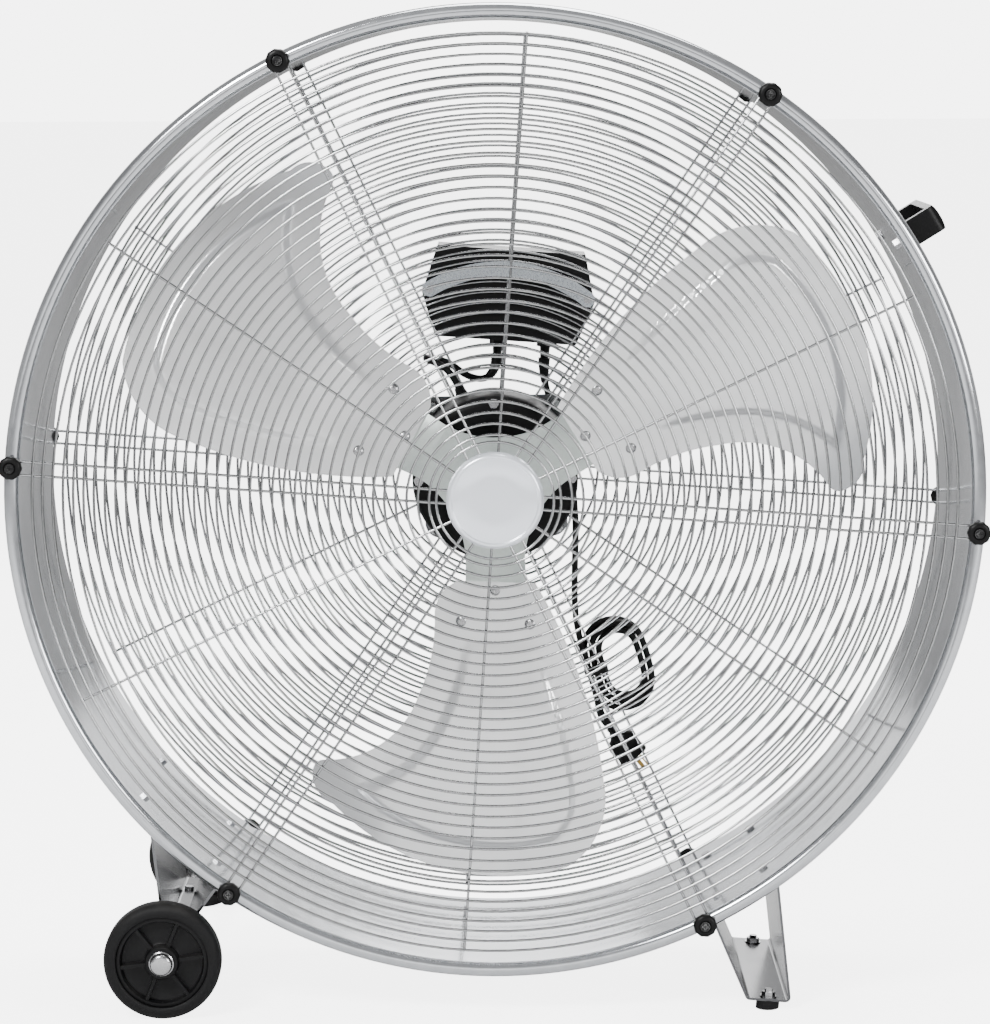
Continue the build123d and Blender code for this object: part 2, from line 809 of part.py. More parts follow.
bush_radius = 5.0
with BuildPart() as control_box_cover:
    with BuildSketch(face_plane(box_rear)):
        box_outline()
        with Locations((knob_x, knob_z)):
            RegularPolygon(bush_radius + clearance, small_round_sides, mode=Mode.SUBTRACT)
    extrude(amount=-box_wall)
    add(holes(face_plane(box_rear), cover_screws_at, small_screw, 2 * box_wall), mode=Mode.SUBTRACT)
finish("control_box_cover", control_box_cover.part)

cover_rear_plane = rear_plane.offset(box_depth + box_wall)
finish("box_cover_screws", bolts(cover_rear_plane, mirrored(cover_screws_at), small_screw, screw_head, box_wall + cover_screw_grip))

strap_seat = rear_seat - wire
with BuildPart() as box_strap:
    with BuildSketch(face_plane(strap_seat)):
        with BuildLine():
            ThreePointArc(strap_screws_at[0], (box_x, strap_screw_z + strap_rise), strap_screws_at[1])
        trace(line_width=strap_width)
        with Locations(*strap_screws_at):
            Circle(strap_width / 2)
            RegularPolygon(small_screw + clearance, 8, mode=Mode.SUBTRACT)
    extrude(amount=strap_sheet)
finish("box_strap", box_strap.part)

strap_front_plane = face_plane(strap_seat - strap_sheet)
strap_reach = strap_sheet + 2 * wire + 3 * box_wall
finish("strap_screws", bolts(strap_front_plane, strap_screws_at, small_screw, screw_head, strap_reach, 2.2))

switch_width = 34.0
switch_height = 30.0
switch_corner = 4.0
switch_depth = 24.0
bush_length = 3.0
with BuildPart() as switch_body:
    with BuildSketch(face_plane(box_rear)):
        with Locations((knob_x, knob_z)):
            RectangleRounded(switch_width, switch_height, switch_corner)
    extrude(amount=switch_depth)
    with BuildSketch(face_plane(box_rear)):
        with Locations((knob_x, knob_z)):
            RegularPolygon(bush_radius, small_round_sides)
    extrude(amount=-box_wall - bush_length)
    with BuildSketch(face_plane(box_rear + box_wall + bush_length)):
        with Locations((knob_x, knob_z)):
            Circle(speed_knob_stem + slip)
    extrude(amount=switch_depth / 2, mode=Mode.SUBTRACT)
finish("switch_body", switch_body.part)

# The speed knob turns on its stem in the switch
knob_plane = face_plane(box_rear + box_wall + gap)
knob_recess = 4.0
knob_skirt = 6.0
grip_width = 8.0
with BuildPart() as switch_knob:
    with BuildSketch(knob_plane):
        with Locations((knob_x, knob_z)):
            RegularPolygon(speed_knob_radius, round_sides)
    extrude(amount=-knob_skirt)
    with BuildSketch(knob_plane.offset(-knob_skirt)):
        with Locations((knob_x, knob_z)):
            RegularPolygon(speed_knob_radius - 2, round_sides)
            Rectangle(grip_width, 2 * speed_knob_radius, mode=Mode.INTERSECT)
    extrude(amount=knob_skirt - speed_knob_length)
    with BuildSketch(knob_plane):
        with Locations((knob_x, knob_z)):
            RegularPolygon(bush_radius + 1, small_round_sides)
    extrude(amount=-knob_recess, mode=Mode.SUBTRACT)
    with BuildSketch(knob_plane.offset(-knob_recess - 1)):
        with Locations((knob_x, knob_z)):
            Circle(speed_knob_stem)
    extrude(amount=knob_recess + box_wall + switch_depth / 4)
finish("switch_knob", switch_knob.part)

capacitor_x = box_x - 34.0
capacitor_length = 60.0
capacitor_width = 30.0
capacitor_corner = 6.0
capacitor_height = 38.0
with BuildPart() as capacitor:
    with BuildSketch(face_plane(rear_face + box_wall)):
        with Locations((capacitor_x, box_wide_z)):
            RectangleRounded(capacitor_length, capacitor_width, capacitor_corner)
    extrude(amount=-capacitor_height)
finish("capacitor", capacitor.part)


# Cord entries in the box's floor
def gland(plane):
    """A nut and a tapered sleeve outside the floor and a stub through it."""
    with BuildPart() as entry:
        with BuildSketch(plane):
            RegularPolygon(cord_diameter + gland_wall, 6)
        extrude(amount=-gland_nut_height)
        with BuildSketch(plane):
            RegularPolygon(cord_diameter / 2 + gland_wall, 8)
        extrude(amount=2 * box_wall)
        with BuildSketch(plane.offset(-gland_nut_height)):
            RegularPolygon(cord_diameter / 2 + gland_wall, 8)
        with BuildSketch(plane.offset(-gland_length)):
            RegularPolygon(cord_diameter / 2 + 1, 8)
        loft()
    return entry.part


finish("box_glands", join(gland(cord_exit), gland(lead_exit)))

motor_gland_angle = 10.5 * 360 / round_sides
motor_flat = motor_radius * cos(pi / round_sides)
motor_gland_depth = 242.0
motor_gland_length = 9.0
motor_entry = wall_plane(motor_flat, motor_gland_angle, motor_gland_depth)
with BuildPart() as motor_lead_gland:
    with BuildSketch(motor_entry):
        RegularPolygon(lead_diameter / 2 + gland_wall + 1, 8)
    with BuildSketch(motor_entry.offset(motor_gland_length)):
        RegularPolygon(lead_diameter / 2 + 1, 8)
    loft()
finish("motor_lead_gland", motor_lead_gland.part)


def tube(name, points, diameter, sides=6):
    """A cord along straight runs joined by the largest arcs that the runs allow."""
    radii = []
    for before, corner, after in zip(points, points[1:], points[2:]):
        first = corner - before
        second = after - corner
        turn = radians(first.get_angle(second))
        radii.append(0.45 * min(first.length, second.length) / tan(turn / 2))
    with BuildPart() as cord:
        with BuildLine() as path:
            FilletPolyline(*points, radius=radii)
        wire_path = path.wire()
        with BuildSketch(Plane(origin=wire_path @ 0, z_dir=wire_path % 0)):
            RegularPolygon(diameter / 2, sides)
        sweep()
    expected = wire_path.length * sides / 2 * sin(2 * pi / sides) * (diameter / 2) ** 2
    print(name, "radii", [round(radius) for radius in radii], "length", round(wire_path.length))
    print(name, "volume over section times length", round(cord.part.volume / expected, 4))
    return cord.part


# Motor lead: down from the box, round through the rear grille and back to the motor
entry_x, entry_z = around(motor_flat + motor_gland_length, motor_gland_angle)
lead_out_x, lead_out_z = around(motor_flat + 30, motor_gland_angle)
lead_turn_x, lead_turn_z = around(134.9, 126.0)
lead_start = spot(lead_exit_x, box_bottom_z - gland_length, exit_depth)
lead_route = [
    lead_start,
    spot(lead_exit_x, 101, exit_depth),
    spot(-16, 88, 283),
    spot(-36, 91, 275),
    spot(-57, 106, 271),
    spot(lead_turn_x, lead_turn_z, 268),
    spot(lead_turn_x - 1, lead_turn_z, 249),
    spot(lead_out_x, lead_out_z, motor_gland_depth),
    spot(entry_x, entry_z, motor_gland_depth),
]
finish("motor_lead", tube("motor_lead", lead_route, lead_diameter))

# Power cord: from the box down behind the motor to the hank
hank_x, hank_z = around(hank_radius, hank_spoke)
hank_angle = hank_spoke + hank_turn
hank_plane = Plane(
    origin=spot(hank_x, hank_z, hank_first_depth),
    x_dir=(cos(radians(hank_angle) - lean), 0, sin(radians(hank_angle) - lean)),
    z_dir=(0, -1, 0),
)
hank_tail = cord_diameter
hank_lead_run = 24.0
hank_start = hank_plane.from_local_coords((-hank_half_run - hank_tail, -hank_pitch, 0))
hank_lead_in = hank_start - hank_plane.x_dir * hank_lead_run
cord_route = [
    spot(cord_exit_x, box_bottom_z - gland_length, exit_depth),
    spot(cord_exit_x, 94, exit_depth),
    spot(57, 62, 282),
    spot(71, 28, 275),
    spot(82, -10, 271),
    spot(89, -52, 268),
    spot(91, -96, 265),
    spot(93, -136, hank_first_depth),
    hank_lead_in,
    hank_start,
]
finish("power_cord", tube("power_cord", cord_route, cord_diameter))


# Hank: the spare length wound back and forth in layers behind the grille
def hank_step(run):
    """How far in a run lies: the winding goes in for a layer and out again for the next."""
    return 4 - abs(4 - run % 8)


def hank_point(run, along, layer):
    inward = hank_step(run) * hank_pitch / 2
    across = hank_reach - inward
    middle = hank_reach - hank_pitch
    side = middle - across if run % 2 == 0 else middle + across
    return (along, side, -layer * hank_pitch)


def halfway_arc(start, end, rise):
    """The middle point of an arc that leaves its start along the run."""
    reach = end[0] - start[0]
    turn = 2 * atan(abs(rise / reach))
    bend = abs(reach) / sin(turn)
    along = start[0] + (reach / abs(reach)) * bend * sin(turn / 2)
    return (along, start[1], start[2] + (rise / abs(rise)) * bend * (1 - cos(turn / 2)))


hank_runs = 4 * hank_layers + 1
with BuildPart() as cord_hank:
    with BuildLine(hank_plane) as hank_path:
        for run in range(hank_runs):
            way = 1 if run % 2 == 0 else -1
            layer = max(0, (run - 1) // 4)
            next_layer = min(run // 4, hank_layers - 1)
            tail_before = hank_tail if run == 0 else 0
            tail_after = hank_tail if run == hank_runs - 1 else 0
            start = hank_point(run, -way * (hank_half_run + tail_before), layer)
            end = hank_point(run, way * (hank_half_run + tail_after), next_layer)
            if layer == next_layer:
                Line(start, end)
            else:
                middle = (0, start[1], (start[2] + end[2]) / 2)
                rise = middle[2] - start[2]
                ThreePointArc(start, halfway_arc(start, middle, rise), middle)
                ThreePointArc(middle, halfway_arc(end, middle, -rise), end)
            if run < hank_runs - 1:
                after = hank_point(run + 1, way * hank_half_run, next_layer)
                fold = abs(after[1] - end[1]) / 2
                far = (way * (hank_half_run + fold), (after[1] + end[1]) / 2, end[2])
                ThreePointArc(end, far, after)
    hank_wire = hank_path.wire()
    with BuildSketch(Plane(origin=hank_wire @ 0, z_dir=hank_wire % 0)):
        RegularPolygon(cord_diameter / 2, 6, rotation=30)
    sweep()
finish("cord_hank", cord_hank.part)

hank_samples = int(hank_wire.length / 4)
hank_points = [tuple(hank_wire @ (i / hank_samples)) for i in range(hank_samples + 1)]
least = 1000.0
for i, first in enumerate(hank_points):
    for second in hank_points[i + 10:]:
        least = min(least, dist(first, second))
print("cord_hank length", round(hank_wire.length), "least gap to itself", round(least - cord_diameter, 2))

# Tie round the near side of the hank and the pair of spokes
tie_half = hank_pitch + cord_diameter / 2 + gap
tie_front = rear_seat - wire - gap
tie_rear = hank_first_depth + (hank_layers - 1) * hank_pitch + cord_diameter / 2 + gap
tie_depth = tie_rear - tie_front
tie_plane = Plane(
    origin=spot(hank_x, hank_z, (tie_front + tie_rear) / 2),
    x_dir=hank_plane.y_dir,
    z_dir=hank_plane.x_dir,
)
with BuildPart() as cord_tie:
    with BuildSketch(tie_plane):
        RectangleRounded(2 * (tie_half + tie_wall), tie_depth + 2 * tie_wall, 3)
        RectangleRounded(2 * tie_half, tie_depth, 1.8, mode=Mode.SUBTRACT)
    extrude(amount=tie_width / 2, both=True)
finish("cord_tie", cord_tie.part)

# Plug on its short tail, hanging below the hank
plug_lead_run = 15.0
plug_tail_run = 10.0
plug_depth = rear_face + gap + plug_thickness / 2
plug_angle = radians(-47.4)
last_layer = (hank_layers - 1) * hank_pitch
hank_end = hank_plane.from_local_coords((hank_half_run + hank_tail, -hank_pitch, -last_layer))
plug_x_dir = Vector(cos(plug_angle - lean), 0, sin(plug_angle - lean))
plug_entry = spot(137, -268, plug_depth)
plug_plane = Plane(origin=plug_entry, x_dir=(0, 1, 0), z_dir=plug_x_dir)
tail_first = hank_end + hank_plane.x_dir * plug_lead_run
tail_route = [hank_end, tail_first, plug_entry - plug_x_dir * plug_tail_run, plug_entry]
finish("plug_lead", tube("plug_lead", tail_route, cord_diameter))

with BuildPart() as plug_body:
    with BuildSketch(plug_plane):
        RegularPolygon(cord_diameter / 2 + 1, small_round_sides)
    with BuildSketch(plug_plane.offset(plug_neck_length)):
        RegularPolygon(cord_diameter / 2 + 3, small_round_sides)
    loft()
    with BuildSketch(plug_plane.offset(plug_neck_length)):
        RectangleRounded(plug_thickness, plug_width, 7)
    extrude(amount=plug_length - plug_neck_length)
finish("plug_body", plug_body.part)

with BuildPart() as plug_pins:
    with BuildSketch(plug_plane.offset(plug_length)):
        with Locations((flat_pin_offset, pin_spacing / 2), (flat_pin_offset, -pin_spacing / 2)):
            Rectangle(flat_pin_width, flat_pin_sheet)
        with Locations((earth_pin_offset, 0)):
            RegularPolygon(earth_pin_radius, 8)
    extrude(amount=pin_length)
finish("plug_pins", plug_pins.part)


# Handle: a moulded strap with two screwed feet
with BuildPart() as handle:
    with BuildSketch(section_plane(handle_angle)):
        foot_front = handle_front_depth - handle_foot
        foot_rear = handle_rear_depth + handle_foot
        foot_top = wall_radius + handle_foot_sheet
        with BuildLine():
            Polyline(
                (wall_radius, foot_front),
                (foot_top, foot_front),
                (foot_top, handle_front_depth),
                (handle_reach, handle_front_depth),
                (handle_reach, handle_rear_depth),
                (foot_top, handle_rear_depth),
                (foot_top, foot_rear),
                (wall_radius, foot_rear),
                (wall_radius, handle_rear_depth - handle_bar),
                (handle_reach - handle_bar, handle_rear_depth - handle_bar),
                (handle_reach - handle_bar, handle_front_depth + handle_bar),
                (wall_radius, handle_front_depth + handle_bar),
                close=True,
            )
        make_face()
        grip_corners = vertices().group_by(Axis.X)[-1]
        fillet(grip_corners, handle_bar)
    extrude(amount=handle_width / 2, both=True)
    with BuildSketch(face_plane(0, handle_angle)):
        crown_start = handle_reach - handle_crown
        with BuildLine():
            Line((bore_radius, -handle_width / 2), (crown_start, -handle_width / 2))
            ThreePointArc((crown_start, -handle_width / 2), (handle_reach, 0), (crown_start, handle_width / 2))
            Line((crown_start, handle_width / 2), (bore_radius, handle_width / 2))
            Line((bore_radius, handle_width / 2), (bore_radius, -handle_width / 2))
        make_face()
    extrude(amount=-drum_length, mode=Mode.INTERSECT)
    add(wall_holes([handle_angle], handle_screw_depths, bolt), mode=Mode.SUBTRACT)
finish("handle", handle.part)


wall_nut_height = 3.0


def wall_bolts(angles, depths, reach, nut):
    """Bolts through the drum's wall, heads inside, nuts outside at a height above the wall."""
    parts = []
    for angle in angles:
        for depth in depths:
            turn = radians(angle) - lean
            x, z = around(bore_radius - slip, angle)
            inside = Plane(origin=spot(x, z, depth), x_dir=(0, 1, 0), z_dir=(-cos(turn), 0, -sin(turn)))
            parts.append(bolts(inside, [(0, 0)], bolt, wall_nut_height, reach))
            if nut > 0:
                with BuildPart() as fastener:
                    with BuildSketch(wall_plane(wall_radius + nut, angle, depth)):
                        RegularPolygon(bolt * nut_size, 6)
                    extrude(amount=wall_nut_height)
                parts.append(fastener.part)
    return join(*parts)


finish("handle_screws", wall_bolts([handle_angle], handle_screw_depths, handle_foot_sheet, 0))


# Brackets: bent sheet tunnels under the drum, open at both ends
def bracket(left_angle, left, right, right_angle, floor_z, left_way):
    """Left way is 1 where the left flange turns in under the drum and -1 where it turns out."""
    flange = degrees(bracket_flange / wall_radius)
    middle = bracket_sheet / 2
    top_left = around(wall_radius + middle, left_angle)
    top_right = around(wall_radius + middle, right_angle)
    flange_left = around(wall_radius + middle, left_angle + left_way * flange)
    flange_right = around(wall_radius + middle, right_angle - flange)
    with BuildPart() as tunnel:
        with BuildSketch(face_plane(bracket_front_depth)):
            with BuildLine():
                FilletPolyline(
                    flange_left,
                    top_left,
                    (left + middle, floor_z + middle),
                    (right - middle, floor_z + middle),
                    top_right,
                    flange_right,
                    radius=bracket_bend,
                )
            trace(line_width=bracket_sheet)
            Circle(wall_radius, mode=Mode.SUBTRACT)
        extrude(amount=bracket_front_depth - bracket_rear_depth)
    return tunnel.part


foot_spacing = foot_rear_depth - foot_front_depth
foot_plane = upright_plane(foot_x, foot_floor_z, foot_front_depth)
foot_places = [(0, 0), (0, foot_spacing)]
stud = 4.0
washer_sheet = 1.2
stud_nut_height = 4.0
stud_end = 8.0
with BuildPart() as foot_bracket:
    add(bracket(foot_wall_left, foot_floor_left, foot_floor_right, foot_wall_right, foot_floor_z, 1))
    add(wall_holes(foot_bolt_angles, bracket_bolt_depths, bolt), mode=Mode.SUBTRACT)
    add(holes(foot_plane, foot_places, stud, 2 * bracket_sheet), mode=Mode.SUBTRACT)
finish("foot_bracket", foot_bracket.part)
foot_bolts = wall_bolts(foot_bolt_angles, bracket_bolt_depths, bracket_sheet + nut_height, bracket_sheet)
finish("foot_bracket_bolts", foot_bolts)

with BuildPart() as rubber_feet:
    with BuildSketch(foot_plane):
        with Locations(*foot_places):
            RegularPolygon(foot_radius, small_round_sides)
            RegularPolygon(stud + clearance, 8, mode=Mode.SUBTRACT)
    extrude(amount=-foot_height - foot_radius)
    split(bisect_by=Plane.XY, keep=Keep.TOP)
finish("rubber_feet", rubber_feet.part)

stud_plane = foot_plane.offset(bracket_sheet)
with BuildPart() as foot_studs:
    with BuildSketch(stud_plane):
        with Locations(*foot_places):
            RegularPolygon(stud * 2.1, small_round_sides)
    extrude(amount=washer_sheet)
    with BuildSketch(stud_plane.offset(washer_sheet)):
        with Locations(*foot_places):
            RegularPolygon(stud * 1.7, 6)
    extrude(amount=stud_nut_height)
    with BuildSketch(stud_plane.offset(stud_end)):
        with Locations(*foot_places):
            RegularPolygon(stud, 8)
    extrude(amount=-stud_end - bracket_sheet - foot_height / 2)
finish("foot_studs", foot_studs.part)

wheel_floor_middle = (wheel_floor_left + wheel_floor_right) / 2
saddle_bolt_depths = [saddle_front_depth, saddle_rear_depth]
saddle_spacing = saddle_rear_depth - saddle_front_depth
saddle_plane = upright_plane(wheel_floor_middle, wheel_floor_z, saddle_front_depth)
saddle_places = [(0, 0), (0, saddle_spacing)]
with BuildPart() as wheel_bracket:
    add(bracket(wheel_wall_left, wheel_floor_left, wheel_floor_right, wheel_wall_right, wheel_floor_z, -1))
    add(wall_holes(wheel_bolt_angles, bracket_bolt_depths, bolt), mode=Mode.SUBTRACT)
    add(holes(saddle_plane, saddle_places, bolt, 2 * bracket_sheet), mode=Mode.SUBTRACT)
finish("wheel_bracket", wheel_bracket.part)
wheel_bolts = wall_bolts(wheel_bolt_angles, bracket_bolt_depths, bracket_sheet + nut_height, bracket_sheet)
finish("wheel_bracket_bolts", wheel_bolts)

saddle_grip = 9.0
saddle_bolt_reach = bracket_sheet + saddle_grip
with BuildPart() as axle_saddles:
    for depth in saddle_bolt_depths:
        with BuildSketch(face_plane(depth - saddle_length / 2)):
            with Locations((axle_x, axle_z)):
                RegularPolygon(axle_radius + saddle_wall, small_round_sides)
            with Locations((wheel_floor_middle, wheel_floor_z - 1)):
                Rectangle(wheel_floor_right - wheel_floor_left - 4, 2)
            make_hull()
            with Locations((axle_x, axle_z)):
                RegularPolygon(axle_radius + slip, round_sides, major_radius=False, mode=Mode.SUBTRACT)
        extrude(amount=-saddle_length)
    add(holes(saddle_plane, saddle_places, bolt, saddle_bolt_reach), mode=Mode.SUBTRACT)
finish("axle_saddles", axle_saddles.part)
saddle_top = saddle_plane.offset(bracket_sheet)
finish("saddle_bolts", bolts(saddle_top, saddle_places, bolt, bolt_head, saddle_bolt_reach, 1.6))


# Axle, with a pressed cap on each end and a collar in front of the rear wheel
def rod(radius, start, end, bore=0.0):
    with BuildPart() as bar:
        with BuildSketch(face_plane(start)):
            with Locations((axle_x, axle_z)):
                RegularPolygon(radius, small_round_sides)
                if bore > 0:
                    RegularPolygon(bore, small_round_sides, major_radius=False, mode=Mode.SUBTRACT)
        extrude(amount=start - end)
    return bar.part


rear_cap_depth = rear_wheel_depth + wheel_width
with BuildPart() as axle:
    with BuildSketch(face_plane(front_wheel_depth)):
        with Locations((axle_x, axle_z)):
            Circle(axle_radius)
    extrude(amount=front_wheel_depth - rear_cap_depth)
finish("axle", axle.part)
front_cap = rod(axle_cap_radius, front_end, front_wheel_depth)
finish("axle_caps", join(front_cap, rod(axle_cap_radius, rear_cap_depth, rear_end)))
collar = rod(axle_cap_radius, rear_wheel_depth - collar_length, rear_wheel_depth, axle_radius + slip)
finish("axle_collar", collar)


# Wheels: a ribbed hub in a solid tyre, turning on the axle
tyre_sides = 48
rim_wall = 5.0
rim_inset = 3.0
rib_inset = 5.0
rib_width = 4.0


def wheel_hub(depth):
    near = depth + gap
    far = depth + wheel_width - gap
    middle = depth + wheel_width / 2
    rib_length = wheel_rim_radius - rim_wall - 1 - wheel_boss_radius
    with BuildPart() as hub:
        with BuildSketch(face_plane(near)):
            with Locations((axle_x, axle_z)):
                RegularPolygon(wheel_boss_radius, small_round_sides)
        extrude(amount=near - far)
        with BuildSketch(face_plane(near + rim_inset)):
            with Locations((axle_x, axle_z)):
                RegularPolygon(wheel_rim_radius, round_sides)
                RegularPolygon(wheel_rim_radius - rim_wall, round_sides, mode=Mode.SUBTRACT)
        extrude(amount=near - far + 2 * rim_inset)
        with BuildSketch(face_plane(middle - wheel_web / 2)):
            with Locations((axle_x, axle_z)):
                RegularPolygon(wheel_rim_radius - rim_wall / 2, round_sides)
        extrude(amount=-wheel_web)
        with BuildSketch(face_plane(near + rib_inset)):
            with Locations((axle_x, axle_z)):
                with PolarLocations(wheel_boss_radius + rib_length / 2, 6):
                    Rectangle(rib_length + rib_width, rib_width)
        extrude(amount=near - far + 2 * rib_inset)
        with BuildSketch(face_plane(near)):
            with Locations((axle_x, axle_z)):
                Circle(axle_radius + slip)
        extrude(amount=near - far, mode=Mode.SUBTRACT)
    return hub.part


def wheel_tyre(depth):
    """Its sides are turned so that one corner is straight below the axle and meets the floor."""
    near = depth + gap
    far = depth + wheel_width - gap
    with BuildPart() as tyre:
        with BuildSketch(face_plane(near)):
            with Locations((axle_x, axle_z)):
                RegularPolygon(wheel_radius, tyre_sides, rotation=degrees(lean))
                RegularPolygon(wheel_rim_radius + slip, round_sides, mode=Mode.SUBTRACT)
        extrude(amount=near - far)
    return tyre.part


for name, depth in (("front", front_wheel_depth), ("rear", rear_wheel_depth)):
    finish(f"{name}_wheel_hub", wheel_hub(depth))
    finish(f"{name}_wheel_tyre", wheel_tyre(depth))

print("lean", round(degrees(lean), 3), "axis height", round(axis_height, 2), "middle", depth_middle)
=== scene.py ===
from math import atan2, cos, hypot, pi, radians, sin, sqrt, tan

import bmesh
import bpy
from mathutils import Matrix, Vector
from mathutils.geometry import delaunay_2d_cdt


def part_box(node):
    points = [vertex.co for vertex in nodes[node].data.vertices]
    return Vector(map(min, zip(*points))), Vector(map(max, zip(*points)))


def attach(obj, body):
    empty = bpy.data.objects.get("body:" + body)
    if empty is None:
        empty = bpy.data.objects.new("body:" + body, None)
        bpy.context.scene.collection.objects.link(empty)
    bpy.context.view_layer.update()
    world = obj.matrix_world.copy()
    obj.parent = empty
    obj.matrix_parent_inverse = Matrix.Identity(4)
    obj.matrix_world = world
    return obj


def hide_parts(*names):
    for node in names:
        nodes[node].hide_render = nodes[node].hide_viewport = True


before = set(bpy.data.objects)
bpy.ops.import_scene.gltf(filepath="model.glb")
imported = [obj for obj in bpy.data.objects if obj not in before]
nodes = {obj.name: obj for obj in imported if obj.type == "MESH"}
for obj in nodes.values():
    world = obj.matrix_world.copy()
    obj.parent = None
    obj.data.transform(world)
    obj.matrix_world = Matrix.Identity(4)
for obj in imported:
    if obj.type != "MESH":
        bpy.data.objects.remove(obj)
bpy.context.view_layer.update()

# the drum's own frame, in mm: x to the right, depth to the rear, z up, all from its axis
stance = {
    "lean": radians(4.081), "axisHeight": 517.39, "depthMiddle": 211.0,
}
leanCos = cos(stance["lean"])
leanSin = sin(stance["lean"])


def inWorld(point):
    x, depth, z = point
    across = x * leanCos + z * leanSin
    height = stance["axisHeight"] - x * leanSin + z * leanCos
    return Vector((across, depth - stance["depthMiddle"], height)) / 1000


def turned(x, z, turn):
    return x * cos(turn) - z * sin(turn), x * sin(turn) + z * cos(turn)


def placeObject(name, data):
    piece = bpy.data.objects.new(name, data)
    bpy.context.scene.collection.objects.link(piece)
    return piece


# fitted to the photograph: place in metres, turns in radians, lens in mm
cameraView = {
    "place": (0.0047, -3.4225, 0.9469), "yaw": 0.0015, "pitch": -0.1369, "roll": -0.0036,
    "lens": 116.82, "sensor": 36.0,
}


def addCamera(view):
    data = bpy.data.cameras.new("photoCamera")
    data.sensor_fit = "VERTICAL"
    data.sensor_height = view["sensor"]
    data.lens = view["lens"]
    data.clip_end = 50.0
    yaw, pitch, roll = view["yaw"], view["pitch"], view["roll"]
    forward = Vector((-sin(yaw) * cos(pitch), cos(yaw) * cos(pitch), sin(pitch)))
    right = Vector((cos(yaw), sin(yaw), 0))
    up = right.cross(forward)
    turnedRight = right * cos(roll) + up * sin(roll)
    turnedUp = up * cos(roll) - right * sin(roll)
    matrix = Matrix((turnedRight, turnedUp, -forward)).transposed().to_4x4()
    matrix.translation = Vector(view["place"])
    camera = placeObject("photoCamera", data)
    camera.matrix_world = matrix
    bpy.context.scene.camera = camera


addCamera(cameraView)
print("camera placed")


def newGroup(name, inputs, outputs):
    group = bpy.data.node_groups.new(name, "ShaderNodeTree")
    for label, kind, value in inputs:
        socket = group.interface.new_socket(name=label, in_out="INPUT", socket_type=kind)
        socket.default_value = value
    for label, kind in outputs:
        group.interface.new_socket(name=label, in_out="OUTPUT", socket_type=kind)
    return group, group.nodes.new("NodeGroupInput"), group.nodes.new("NodeGroupOutput")


def feed(tree, socket, value):
    # another node's output comes in as a link, anything else as the socket's value
    if isinstance(value, bpy.types.NodeSocket):
        tree.links.new(value, socket)
    else:
        socket.default_value = value


def newNode(tree, kind, inputs=None, **settings):
    node = tree.nodes.new(f"ShaderNode{kind}")
    for name, value in settings.items():
        setattr(node, name, value)
    for label, value in (inputs or {}).items():
        feed(tree, node.inputs[label], value)
    return node


def mathNode(tree, operation, first, second):
    return newNode(tree, "Math", {0: first, 1: second}, operation=operation).outputs[0]


def rangeNode(tree, value, low, high, toLow=0.0, toHigh=1.0):
    inputs = {"Value": value, "From Min": low, "From Max": high, "To Min": toLow, "To Max": toHigh}
    return newNode(tree, "MapRange", inputs).outputs["Result"]


def mixColours(tree, share, first, second):
    return newNode(tree, "Mix", {"Factor": share, 6: first, 7: second}, data_type="RGBA").outputs[2]


# shares of each noise's range, scales per metre
grainValues = {
    "detail": 6.0, "roughness": 0.6, "broadScale": 5.0, "broadDetail": 3.0,
    "tone": (0.3, 0.7), "blotch": (0.35, 0.65),
}
wearValues = {"samples": 4, "edge": (0.985, 0.85), "scale": 90.0, "patches": (0.4, 0.62)}
dustValues = {
    "facing": (0.3, 1.0), "scale": 22.0, "detail": 5.0, "patches": (0.35, 0.7),
    "colour": (0.62, 0.60, 0.56, 1.0),
}


def makeGrain(values):
    inputs = [
        ("Scale", "NodeSocketFloat", 60.0),
        ("Stretch", "NodeSocketVector", (1.0, 1.0, 1.0)),
        ("Depth", "NodeSocketFloat", 0.2),
        ("Height", "NodeSocketFloat", 0.0004),
    ]
    outputs = [("Tone", "NodeSocketFloat"), ("Blotch", "NodeSocketFloat"), ("Normal", "NodeSocketVector")]
    group, entry, leave = newGroup("surfaceGrain", inputs, outputs)
    place = newNode(group, "TexCoord").outputs["Object"]
    stretch = newNode(group, "VectorMath", {0: place, 1: entry.outputs["Stretch"]}, operation="MULTIPLY")
    fine = newNode(group, "TexNoise", {
        "Vector": stretch.outputs[0], "Scale": entry.outputs["Scale"],
        "Detail": values["detail"], "Roughness": values["roughness"],
    }).outputs["Fac"]
    broad = newNode(group, "TexNoise", {
        "Vector": place, "Scale": values["broadScale"], "Detail": values["broadDetail"],
    }).outputs["Fac"]
    bump = newNode(group, "Bump", {
        "Strength": entry.outputs["Depth"], "Distance": entry.outputs["Height"], "Height": fine,
    })
    feed(group, leave.inputs["Tone"], rangeNode(group, fine, *values["tone"]))
    feed(group, leave.inputs["Blotch"], rangeNode(group, broad, *values["blotch"]))
    feed(group, leave.inputs["Normal"], bump.outputs["Normal"])
    return group


def makeEdgeWear(values):
    inputs = [("Radius", "NodeSocketFloat", 0.0008), ("Amount", "NodeSocketFloat", 0.5)]
    group, entry, leave = newGroup("edgeWear", inputs, [("Mask", "NodeSocketFloat")])
    rounded = newNode(group, "Bevel", {"Radius": entry.outputs["Radius"]}, samples=values["samples"])
    shape = newNode(group, "NewGeometry")
    normals = {0: rounded.outputs["Normal"], 1: shape.outputs["Normal"]}
    compare = newNode(group, "VectorMath", normals, operation="DOT_PRODUCT")
    edge = rangeNode(group, compare.outputs["Value"], *values["edge"])
    place = newNode(group, "TexCoord").outputs["Object"]
    breakUp = newNode(group, "TexNoise", {"Vector": place, "Scale": values["scale"]}).outputs["Fac"]
    patchy = mathNode(group, "MULTIPLY", edge, rangeNode(group, breakUp, *values["patches"]))
    feed(group, leave.inputs["Mask"], mathNode(group, "MULTIPLY", patchy, entry.outputs["Amount"]))
    return group


